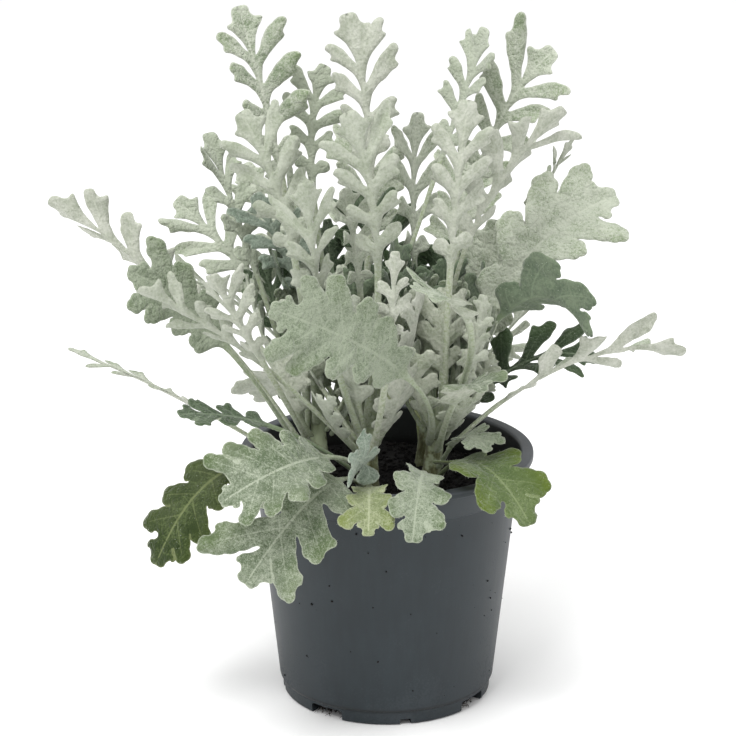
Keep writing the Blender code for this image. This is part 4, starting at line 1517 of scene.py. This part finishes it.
def down_tree() -> Nodes:
    """Fine short hairs that stand out of a leaf, most of them along its margin.

    Returns:
        The tree.
    """
    nodes = Nodes("down", Density="Float", Seed="Int", Length="Float", Finish="Material")
    rim = nodes.node("GeometryNodeInputNamedAttribute", {"Name": "rim"}, data_type="FLOAT")
    inputs = {0: rim.outputs[0], 1: 0.0, 2: HAIRY_RIM, 3: 1.0, 4: HAIR_SHARE_INSIDE}
    share = nodes.node("ShaderNodeMapRange", inputs)
    inputs = {0: share.outputs[0], 1: nodes.given["Density"]}
    spread = nodes.scattered(nodes.node("ShaderNodeMath", inputs, operation="MULTIPLY").outputs[0])
    inputs = {"Vertices": 3, "Radius Top": 0.0, "Radius Bottom": HAIR_RADIUS}
    inputs["Depth"] = nodes.given["Length"]
    hair = nodes.node("GeometryNodeMeshCone", inputs, fill_type="NONE")
    inputs = {"Points": spread.outputs["Points"], "Instance": hair.outputs["Mesh"]}
    inputs["Rotation"] = spread.outputs["Rotation"]
    placed = nodes.node("GeometryNodeInstanceOnPoints", inputs)
    inputs = {0: (-HAIR_LEAN, -HAIR_LEAN, 0.0), 1: (HAIR_LEAN, HAIR_LEAN, ANY_TURN)}
    lean = nodes.node("FunctionNodeRandomValue", inputs, data_type="FLOAT_VECTOR")
    inputs = {"Instances": placed.outputs[0], "Rotation": lean.outputs[0]}
    leaning = nodes.node("GeometryNodeRotateInstances", inputs)
    joined = nodes.node("GeometryNodeJoinGeometry")
    nodes.feed(joined.inputs[0], nodes.coloured(leaning.outputs[0]))
    nodes.feed(joined.inputs[0], nodes.given["Geometry"])
    nodes.feed(nodes.end.inputs[0], joined.outputs[0])
    return nodes


def scatter_tree(name: str) -> Nodes:
    """Copies of a small lump, scattered over a surface, turned any way and of mixed sizes.

    Args:
        name: the tree's name.

    Returns:
        The tree.
    """
    kinds = {"Density": "Float", "Seed": "Int", "Smallest": "Float", "Largest": "Float"}
    nodes = Nodes(name, **kinds, Lump="Object", Finish="Material")
    spread = nodes.scattered(nodes.given["Density"])
    lump = nodes.node("GeometryNodeObjectInfo", {"Object": nodes.given["Lump"]})
    inputs = {0: (0, 0, 0), 1: (ANY_TURN, ANY_TURN, ANY_TURN)}
    turn = nodes.node("FunctionNodeRandomValue", inputs, data_type="FLOAT_VECTOR")
    chance = nodes.node("FunctionNodeRandomValue", {2: 0.0, 3: 1.0}, data_type="FLOAT")
    often = nodes.node("ShaderNodeMath", {0: chance.outputs[1], 1: MOSTLY_SMALL}, operation="POWER")
    inputs = {0: often.outputs[0], 3: nodes.given["Smallest"], 4: nodes.given["Largest"]}
    size = nodes.node("ShaderNodeMapRange", inputs)
    inputs = {"Points": spread.outputs["Points"], "Instance": lump.outputs["Geometry"]}
    inputs |= {"Rotation": turn.outputs[0], "Scale": size.outputs[0]}
    placed = nodes.node("GeometryNodeInstanceOnPoints", inputs)
    nodes.feed(nodes.end.inputs[0], nodes.coloured(placed.outputs[0]))
    return nodes


def thread_tree() -> Nodes:
    """A round thread along each edge path of a mesh, thinner towards its end.

    Returns:
        The tree.
    """
    nodes = Nodes("threads", Radius="Float", Finish="Material")
    curve = nodes.node("GeometryNodeMeshToCurve", {"Mesh": nodes.given["Geometry"]})
    inputs = {"Resolution": 6, "Radius": nodes.given["Radius"]}
    ring = nodes.node("GeometryNodeCurvePrimitiveCircle", inputs)
    taper = nodes.node("GeometryNodeSplineParameter")
    slim = nodes.node("ShaderNodeMapRange", {0: taper.outputs["Factor"], 3: 1.0, 4: 0.35})
    inputs = {"Curve": curve.outputs[0], "Profile Curve": ring.outputs[0], "Scale": slim.outputs[0]}
    swept = nodes.node("GeometryNodeCurveToMesh", {**inputs, "Fill Caps": True})
    nodes.feed(nodes.end.inputs[0], nodes.coloured(swept.outputs[0]))
    return nodes


def lump_object() -> bpy.types.Object:
    """The lump that soil is scattered from, an uneven ball a millimetre across, which is removed later.

    Returns:
        The lump.
    """
    ball = bmesh.new()
    bmesh.ops.create_icosphere(ball, subdivisions=1, radius=0.5 * MM)
    for vertex in ball.verts:
        vertex.co *= 0.75 + 0.5 * noise.noise(vertex.co / MM * 3.1 + Vector((4.2, 1.7, 0.3)))
        vertex.co.z *= 0.72
    return unlinked("lump", ball)


@dataclass
class LeafSet:
    """All the leaves of the plant."""

    down: Nodes = field(default_factory=down_tree)
    hair: bpy.types.Material = field(default_factory=lambda: DOWN_FINISH.plain("down_hair"))
    hair_density: float = 260000.0
    hair_length: float = 0.0008
    margin_rounding: float = 1.1
    rib_width: float = 0.85
    rib_groove: float = 0.24
    vein_width: float = 0.6
    vein_groove: float = 0.16
    vein_height: float = 0.34
    pucker_size: float = 3.4
    pucker_height: float = 0.34
    swelling_size: float = 7.5
    swelling_height: float = 0.8

    def build(self) -> None:
        """Makes every leaf and lets it stand for its solid, and the young leaves round the stems' tops."""
        finishes = {tone: finish.material(f"leaf_{tone.value}") for tone, finish in LEAF_FINISHES.items()}
        for index, leaf in enumerate(LEAVES, 1):
            node = f"leaf_{index:02d}"
            growth = Growth(leaf, index)
            grown = [self.blade(growth, growth.turn_of(node), index)]
            self.finish_piece(f"fine_{node}", grown, finishes[leaf.shown_tone()], [node])
        for number, (name, stem) in enumerate(STEMS.items(), 1):
            grown = []
            for seed, leaf in enumerate(young_leaves(name, stem, number), number * 40):
                grown.append(self.blade(Growth(leaf, seed), (0, 0, 0, 0), seed))
            self.finish_piece(f"young_leaves_{name}", grown, finishes[YOUNG_TONES[name]], [])

    def finish_piece(self, name: str, blades: list, finish: bpy.types.Material, nodes: list[str]) -> None:
        """Makes one object of these blades, with its down.

        Args:
            name: the object's name.
            blades: what blade() gives, for each leaf of the piece.
            finish: the leaves' material.
            nodes: the solids that the piece stands for.
        """
        places, triangles, values = zip(*blades)
        faces = []
        first = 0
        for place, corners in zip(places, triangles):
            faces += [(a + first, b + first, c + first) for a, b, c in corners]
            first += len(place)
        made = new_object(name, np.vstack(places), faces)
        for key in values[0]:
            store(made, key, np.concatenate([value[key] for value in values]))
        made.data.materials.append(finish)
        made.data.materials.append(self.hair)
        self.down.use_on(
            made, Density=self.hair_density, Seed=len(faces), Length=self.hair_length, Finish=self.hair
        )
        settle(made, nodes, f"{len(blades)} leaf blades")

    def blade(self, growth: Growth, turn: tuple, index: int) -> tuple[np.ndarray, list, dict]:
        """One leaf's blade and stalk, as a closed skin with relief on both sides.

        Args:
            growth: how the leaf grows.
            turn: how it is turned about its foot.
            index: the seed of its unevenness.

        Returns:
            Its points, its triangles, and the values that its material reads at each point.
        """
        plan, faces, margin = growth.plan.fine()
        x, y = plan[:, 0], plan[:, 1]
        stalk_end = growth.plan.stalk
        length = growth.plan.blade
        on_blade = growth.on_blade(y)
        half = (STALK_THICKNESS + (BLADE_THICKNESS - STALK_THICKNESS) * on_blade) / 2
        inwards = np.clip(margin / self.margin_rounding, 0, 1)
        swell = 0.2 + 0.8 * np.sqrt(np.clip(1 - (1 - inwards) ** 2, 0, 1))
        main = np.exp(-((x / self.rib_width) ** 2)) * np.clip((y - stalk_end * BLADE_START) / 4, 0, 1)
        fading = 1 - 0.62 * np.clip((y - stalk_end) / length, 0, 1)
        beside, side = self.side_veins(growth.plan.lobes, x, y)
        pucker = self.uneven(plan, self.pucker_size, index * 7.3)
        swollen = self.uneven(plan, self.swelling_size, index * 3.1)
        broad = 1.0 if growth.plan.form.web > 0.3 else 0.0
        pucker = pucker * (self.pucker_height + 0.16 * broad) + swollen * self.swelling_height * broad
        pucker = pucker * (1 - main) * on_blade
        pucker *= np.clip(margin / 2.5, 0, 1) * (1 - side * 0.5)
        middle = growth.place(plan)
        normals = vertex_normals(middle, faces)
        middle = middle + normals * pucker[:, None]
        groove = (main * self.rib_groove + side * self.vein_groove) * on_blade
        top = middle + normals * (half * swell - groove)[:, None]
        rib = (main * RIB_HEIGHT * 1.15 * fading + side * self.vein_height * fading) * on_blade
        bottom = middle - normals * (half * swell + rib * swell)[:, None]
        count = len(plan)
        triangles = list(faces) + [(c + count, b + count, a + count) for a, b, c in faces]
        for a, b in boundary(faces):
            triangles += [(b, a, a + count), (b, a + count, b + count)]
        values = {
            "rim": np.where(on_blade > 0.5, np.minimum(margin, 4.0), 4.0),
            "mid": np.minimum(np.abs(x) / np.maximum(fading, 0.4), 6.0) + (1 - on_blade) * 4,
            "side": beside,
            "reach": np.clip(np.abs(x) / growth.plan.half, 0, 1),
            "stalk": 1 - np.clip((y - stalk_end * 0.92) / (0.10 * length), 0, 1),
            "shade": np.full(len(plan), random.Random(index * 31).random()),
        }
        values = {name: np.tile(value, 2) for name, value in values.items()}
        values["upper"] = np.repeat((1.0, 0.0), count)
        return growth.turned(np.vstack([top, bottom]), turn), triangles, values

    @staticmethod
    def uneven(plan: np.ndarray, size: float, layer: float) -> np.ndarray:
        """Noise at the points of a plan, this many millimetres across, from one layer of it."""
        return np.array([noise.noise((x / size, y / size, layer)) for x, y in plan])

    def side_veins(self, lobes: list[Lobe], x: np.ndarray, y: np.ndarray) -> tuple[np.ndarray, np.ndarray]:
        """The veins along the lobes' axes.

        Args:
            lobes: the leaf's lobes.
            x, y: the points of the plan.

        Returns:
            How far each point lies from the nearest vein, in millimetres, 6 at most, and how far it is
            raised by one, from 0 to 1.
        """
        far = np.full_like(x, 6.0)
        raised = np.zeros_like(x)
        for lobe in lobes:
            reached, beside = lobe.beside(x, y)
            past = np.maximum(0, -reached) + np.maximum(0, reached - lobe.reach * 0.86)
            other_side = np.where(lobe.sign * x >= -0.01, 0.0, 6.0)
            far = np.minimum(far, beside + past * 0.7 + reached.clip(0) / lobe.reach * 0.25 + other_side)
            ends = np.clip((lobe.reach * 0.95 - reached) / (lobe.reach * 0.5), 0, 1)
            ends = np.clip(reached, 0, 1) * ends
            ridge = np.exp(-((beside / self.vein_width) ** 2)) * ends
            raised = np.maximum(raised, ridge * (lobe.sign * x >= 0))
        return far, raised


@dataclass
class Pot:
    """The nursery pot."""

    sides: int = 192
    fillet_steps: int = 4
    height_step: float = 6.0
    sharp_angle: float = 38.0
    wall_heights: tuple = (0, 90, 101, 104)
    wall_radii: tuple = (42.9, 53.0, 57.0, 55.6)

    def corners(self) -> list[tuple[float, float, float]]:
        """The wall's section, from the floor's underside round to its top.

        Returns:
            Its corners, as (radius, height, fillet radius).
        """
        collar_foot = POT_HEIGHT - COLLAR_HEIGHT
        lip_foot = POT_HEIGHT - RIM_LIP
        opening = RIM_RADIUS - RIM_WIDTH
        return [
            (FOOT_RADIUS, 0, 1.0),
            (FOOT_RADIUS + 0.3, FOOT_HEIGHT, 0.3),
            (BODY_BOTTOM_RADIUS, FOOT_HEIGHT + 1.2, 0.5),
            (BODY_TOP_RADIUS, collar_foot, 0.3),
            (BODY_TOP_RADIUS + 0.9, collar_foot + 0.5, 0.4),
            (RIM_RADIUS - 1.2, lip_foot, 0.3),
            (RIM_RADIUS, lip_foot + 0.5, 0.4),
            (RIM_RADIUS, POT_HEIGHT, 0.9),
            (opening, POT_HEIGHT, 0.6),
            (opening - 0.6, POT_HEIGHT - 1.0, 0.4),
            (inner_radius(collar_foot), collar_foot, 1.0),
            (inner_radius(POT_FLOOR + 4), POT_FLOOR + 4, 1.0),
            (FOOT_RADIUS - POT_WALL - 0.6, POT_FLOOR, 0.8),
        ]

    def profile(self) -> list[tuple[float, float]]:
        """The section with its corners rounded and its long runs divided.

        Returns:
            Its points, as (radius, height).
        """
        corners = [(0, 0, 0), *self.corners(), (0, POT_FLOOR, 0)]
        made: list[Vector] = [Vector((0, 0))]
        for before, corner, after in zip(corners, corners[1:], corners[2:]):
            here = Vector(corner[:2])
            back = Vector(before[:2]) - here
            on = Vector(after[:2]) - here
            cut = min(corner[2], back.length * 0.45, on.length * 0.45)
            start = here + back.normalized() * cut
            end = here + on.normalized() * cut
            run = start - made[-1]
            pieces = max(1, int(run.length / self.height_step))
            made += [made[-1] + run * n / pieces for n in range(1, pieces)]
            for n in range(self.fillet_steps + 1):
                share = n / self.fillet_steps
                made.append(start.lerp(here, share).lerp(here.lerp(end, share), share))
        made.append(Vector((0, POT_FLOOR)))
        return [tuple(p) for p in made]

    def build(self) -> None:
        """Makes the pot, cuts its drain notches, and marks its inside for the material."""
        points, faces = turned_mesh(self.profile(), self.sides)
        made = new_object("fine_pot", points, faces)
        self.cut_drains(made)
        place = np.zeros(len(made.data.vertices) * 3)
        made.data.vertices.foreach_get("co", place)
        place = place.reshape(-1, 3) / MM
        radius = np.hypot(place[:, 0], place[:, 1])
        wall = np.interp(place[:, 2], self.wall_heights, self.wall_radii)
        store(made, "inside", np.where((radius < wall - 0.4) & (place[:, 2] > 1.0), 1.0, 0.0))
        made.data.set_sharp_from_angle(angle=math.radians(self.sharp_angle))
        made.data.materials.clear()
        made.data.materials.append(POT_FINISH.pot())
        settle(made, ["pot"], "turned with rounded edges and cut drain notches")

    def cut_drains(self, made: bpy.types.Object) -> None:
        """Cuts the large notches, and a small one half way between each two.

        Args:
            made: the pot.
        """
        box = bpy.data.collections.new("cutters")
        bpy.context.scene.collection.children.link(box)
        for n in range(DRAIN_COUNT):
            angle = DRAIN_FIRST + 360 * n / DRAIN_COUNT
            between = angle + 180 / DRAIN_COUNT
            box.objects.link(self.cutter(angle, DRAIN_REACH, DRAIN_WIDTH, DRAIN_HEIGHT))
            box.objects.link(self.cutter(between, DRAIN_REACH / 2, SMALL_DRAIN_WIDTH, SMALL_DRAIN_HEIGHT))
        modifier = made.modifiers.new("drains", "BOOLEAN")
        modifier.operation = "DIFFERENCE"
        modifier.operand_type = "COLLECTION"
        modifier.collection = box
        apply_modifiers(made)
        for cutter in list(box.objects):
            bpy.data.objects.remove(cutter)
        bpy.data.collections.remove(box)

    def cutter(self, angle: float, reach: float, width: float, height: float) -> bpy.types.Object:
        """A rounded block that cuts one drain notch.

        Args:
            angle: where on the foot.
            reach: how far it cuts into the foot.
            width: the notch's width.
            height: the notch's height.

        Returns:
            The block.
        """
        block = bmesh.new()
        bmesh.ops.create_cube(block, size=1)
        for vertex in block.verts:
            vertex.co.x = FOOT_RADIUS + 3 if vertex.co.x > 0 else FOOT_RADIUS - reach
            vertex.co.y *= width
            vertex.co.z = height if vertex.co.z > 0 else -2
        edges = [e for e in block.edges if all(v.co.z > 0 for v in e.verts)]
        bmesh.ops.bevel(block, geom=edges, offset=height * 0.28, segments=4, profile=0.5, affect="EDGES")
        turn = Matrix.Rotation(math.radians(angle), 4, "Z")
        bmesh.ops.transform(block, matrix=Matrix.Scale(MM, 4) @ turn, verts=block.verts)
        return unlinked("drain", block)


@dataclass
class Specks:
    """Peat on the pot's wall, and the peat and root threads that hang out of its drain notches."""

    wall_density: float = 5000.0
    wall_sides: int = 96
    notch_density: float = 900000.0
    notch_from: float = 1.8
    notch_to: float = 3.9
    roots: int = 26
    root_steps: int = 8
    root_radius: float = 0.00022

    def build(self, lump: bpy.types.Object) -> None:
        """Scatters specks over a copy of the wall, and fills the mouths of the notches with peat.

        Args:
            lump: what is scattered.
        """
        finish = CRUMB_FINISH.soil("speck_peat")
        wall = [(BODY_BOTTOM_RADIUS + 0.05, 8), (BODY_TOP_RADIUS + 0.05, 88)]
        made = new_object("wall_specks", *turned_mesh(wall, self.wall_sides))
        sizes = {"Smallest": 0.3, "Largest": 2.0}
        tree = scatter_tree("peat_specks")
        tree.use_on(made, Density=self.wall_density, Seed=4, **sizes, Lump=lump, Finish=finish)
        settle(made, [], "peat specks on the wall")
        corners = []
        wide = DRAIN_WIDTH * 0.44 / FOOT_RADIUS
        for n in range(DRAIN_COUNT):
            middle = math.radians(DRAIN_FIRST + 360 * n / DRAIN_COUNT)
            for height, angles in ((self.notch_from, (-wide, wide)), (self.notch_to, (wide, -wide))):
                corners += [around(FOOT_RADIUS - 2.4, middle + angle, height) for angle in angles]
        made = new_object("notch_peat", np.array(corners), numbered(DRAIN_COUNT, 4))
        sizes = {"Smallest": 0.8, "Largest": 3.0}
        tree = scatter_tree("notch_peat")
        tree.use_on(made, Density=self.notch_density, Seed=9, **sizes, Lump=lump, Finish=finish)
        settle(made, [], "peat in the drain notches")
        self.build_roots()

    def build_roots(self) -> None:
        """Root threads that come out of the notches and lie along the foot."""
        chance = random.Random(12)
        rows = []
        edges = []
        for n in range(self.roots):
            middle = math.radians(DRAIN_FIRST + 360 * (n % DRAIN_COUNT) / DRAIN_COUNT)
            angle = middle + chance.uniform(-1, 1) * DRAIN_WIDTH * 0.42 / FOOT_RADIUS
            drift = chance.uniform(-0.05, 0.05)
            reach = chance.uniform(2.0, 4.6)
            height = chance.uniform(0.9, 3.2)
            for step in range(self.root_steps + 1):
                share = step / self.root_steps
                bend = drift * share + 0.02 * math.sin(share * 5 + n)
                level = lerp(height, 0.35, share**1.6)
                rows.append(around(FOOT_RADIUS - 4 + reach * share, angle + bend, level))
                if step:
                    edges.append((len(rows) - 2, len(rows) - 1))
        mesh = bpy.data.meshes.new("root_threads")
        mesh.from_pydata((np.array(rows) * MM).tolist(), edges, [])
        made = linked("root_threads", mesh)
        thread_tree().use_on(made, Radius=self.root_radius, Finish=ROOT_FINISH.plain("root_thread"))
        settle(made, [], "root threads at the notches")


@dataclass
class Soil:
    """The potting soil: a lumpy plug with loose crumbs on top."""

    rings: int = 46
    sides: int = 120
    wall_gap: float = 0.42
    crumb_rings: int = 13
    crumb_sides: int = 48
    crumb_inset: float = 2.6
    crumb_density: float = 420000.0

    def top(self, x: float, y: float) -> float:
        """The height of the soil's surface.

        Args:
            x, y: the place.

        Returns:
            The height there.
        """
        coarse = noise.noise(Vector((x / 16, y / 16, 2.0))) * 2.0
        fine = noise.noise(Vector((x / 4.5, y / 4.5, 7.0))) * 1.1
        grit = noise.noise(Vector((x / 1.7, y / 1.7, 3.0))) * 0.5
        mound = 0.0
        for stem in STEMS.values():
            away = math.hypot(x - stem.x, y - stem.y)
            mound = max(mound, 2.2 * math.exp(-((away / 9.0) ** 2)))
        return SOIL_TOP + coarse + fine + grit + mound

    def on_top(self, radius: float, sides: int, above: float = 0.0) -> list[tuple]:
        """A circle of points that follows the soil's surface, this far above it."""
        return [(x, y, self.top(x, y) + above) for x, y, _ in circle(radius, 0.0, sides)]

    def build(self, lump: bpy.types.Object) -> None:
        """Makes the plug and its crumbs.

        Args:
            lump: what the crumbs are scattered from.
        """
        outer = inner_radius(SOIL_TOP - 1.2) - self.wall_gap
        points = []
        for row in range(self.rings + 1):
            points += self.on_top(outer * (1 - (row / self.rings) ** 1.1), self.sides)
        bottom = DRAIN_HEIGHT + 1.0
        points += circle(inner_radius(bottom) - 0.9, bottom + 1.5, self.sides)
        points += circle(FOOT_RADIUS - 11.5, bottom, self.sides)
        points += circle(0.5, bottom, self.sides)
        rows = numbered(self.rings + 4, self.sides)
        rows = rows[:-4:-1] + rows[:-3]
        made = new_object("fine_soil", np.array(points), [*bands(rows), rows[0][::-1]])
        made.data.materials.append(SOIL_FINISH.soil("soil_peat"))
        settle(made, ["soil"], "lumpy plug")
        points = []
        for row in range(self.crumb_rings):
            radius = (outer - self.crumb_inset) * (1 - row / (self.crumb_rings - 0.5))
            points += self.on_top(radius, self.crumb_sides, 0.1)
        faces = bands(numbered(self.crumb_rings, self.crumb_sides))
        made = new_object("soil_crumbs", np.array(points), faces)
        sizes = {"Smallest": 0.6, "Largest": 4.2}
        tree = scatter_tree("crumbs")
        finish = CRUMB_FINISH.soil("crumb_peat")
        tree.use_on(made, Density=self.crumb_density, Seed=3, **sizes, Lump=lump, Finish=finish)
        settle(made, [], "loose crumbs")


@dataclass
class Stems:
    """The woody stems."""

    sides: int = 36
    rows: int = 54
    knob_size: float = 2.6

    def build(self) -> None:
        """Makes each stem, knobbly with the scars of old leaves."""
        finish = STEM_FINISH.stem()
        for name, stem in STEMS.items():
            points = []
            for row in range(self.rows + 1):
                height = lerp(-STEM_SUNK + 0.2, stem.height + 2.4, row / self.rows)
                axis, radius = stem_at(stem, max(0.0, min(height, stem.height)))
                axis.z = SOIL_TOP + height
                if height <= 2.5:
                    axis.x, axis.y, radius = stem.x, stem.y, stem.radius
                closing = max(0.0, (height - stem.height + 1.5) / 4.0)
                radius *= math.sqrt(max(0.0, 1 - closing**2))
                for out in map(Vector, circle(1.0, 0.0, self.sides)):
                    spot = (axis + out * radius) / self.knob_size
                    knob = 1 + 0.07 * noise.noise(spot) + 0.05 * noise.noise(spot * 2.7) - 0.05
                    points.append(tuple(axis + out * radius * knob))
            rows = numbered(self.rows + 1, self.sides)
            faces = [rows[0][::-1], *bands(rows), rows[-1]]
            made = new_object(f"fine_stem_{name}", np.array(points), faces)
            made.data.materials.append(finish)
            settle(made, [f"stem_{name}"], "knobbly stem")


@dataclass
class Studio:
    """The camera, the lights, the sky and the floor."""

    sky: float = 0.89
    floor_size: float = 9000.0
    floor_height: float = -0.2

    def build(self) -> None:
        """Sets up a plain, pale studio, seen as the photograph sees the plant."""
        tilt = math.radians(VIEW_TILT)
        aim = Vector((VIEW_X, 0, VIEW_Z)) * MM
        camera = bpy.data.cameras.new("camera")
        camera.sensor_width = SENSOR
        camera.lens = FOCAL_PIXELS * SENSOR / PICTURE
        camera.clip_start = 0.05
        camera.clip_end = 50
        seen_from = linked("camera", camera)
        seen_from.location = aim + Vector((0, -math.cos(tilt), math.sin(tilt))) * VIEW_DISTANCE * MM
        seen_from.rotation_euler = (math.pi / 2 - tilt, 0, 0)
        bpy.context.scene.camera = seen_from
        world = bpy.data.worlds.new("studio")
        world.use_nodes = True
        background = world.node_tree.nodes["Background"]
        background.inputs[0].default_value = (1, 1, 1, 1)
        background.inputs[1].default_value = self.sky
        bpy.context.scene.world = world
        bpy.context.scene.view_settings.view_transform = "Standard"
        self.softbox("key", (-0.5, -0.9, 1.7), 0.7, 24)
        self.softbox("top", (0.3, 0.2, 1.9), 0.9, 10)
        square = np.array([(-1, -1, 1), (1, -1, 1), (1, 1, 1), (-1, 1, 1)])
        corners = square * (self.floor_size, self.floor_size, self.floor_height)
        floor = new_object("floor", corners, [(0, 1, 2, 3)], False)
        floor.data.materials.append(FLOOR_FINISH.plain("floor_paper", 160.0, 2.0, 0.03, 0.1))

    @staticmethod
    def softbox(name: str, place: tuple, size: float, power: float) -> None:
        """A square light that faces the plant.

        Args:
            name: its name.
            place: where it stands, in metres.
            size: the length of its side, in metres.
            power: its power, in watts.
        """
        light = bpy.data.lights.new(name, "AREA")
        light.shape = "SQUARE"
        light.size = size
        light.energy = power
        made = linked(name, light)
        made.location = place
        made.rotation_euler = (Vector((0, 0, 0.15)) - Vector(place)).to_track_quat("-Z", "Y").to_euler()


def main() -> None:
    """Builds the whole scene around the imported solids."""
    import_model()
    Studio().build()
    lump = lump_object()
    Pot().build()
    Specks().build(lump)
    Soil().build(lump)
    Stems().build()
    LeafSet().build()
    bpy.data.objects.remove(lump)
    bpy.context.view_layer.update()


if __name__ == "__main__":
    main()
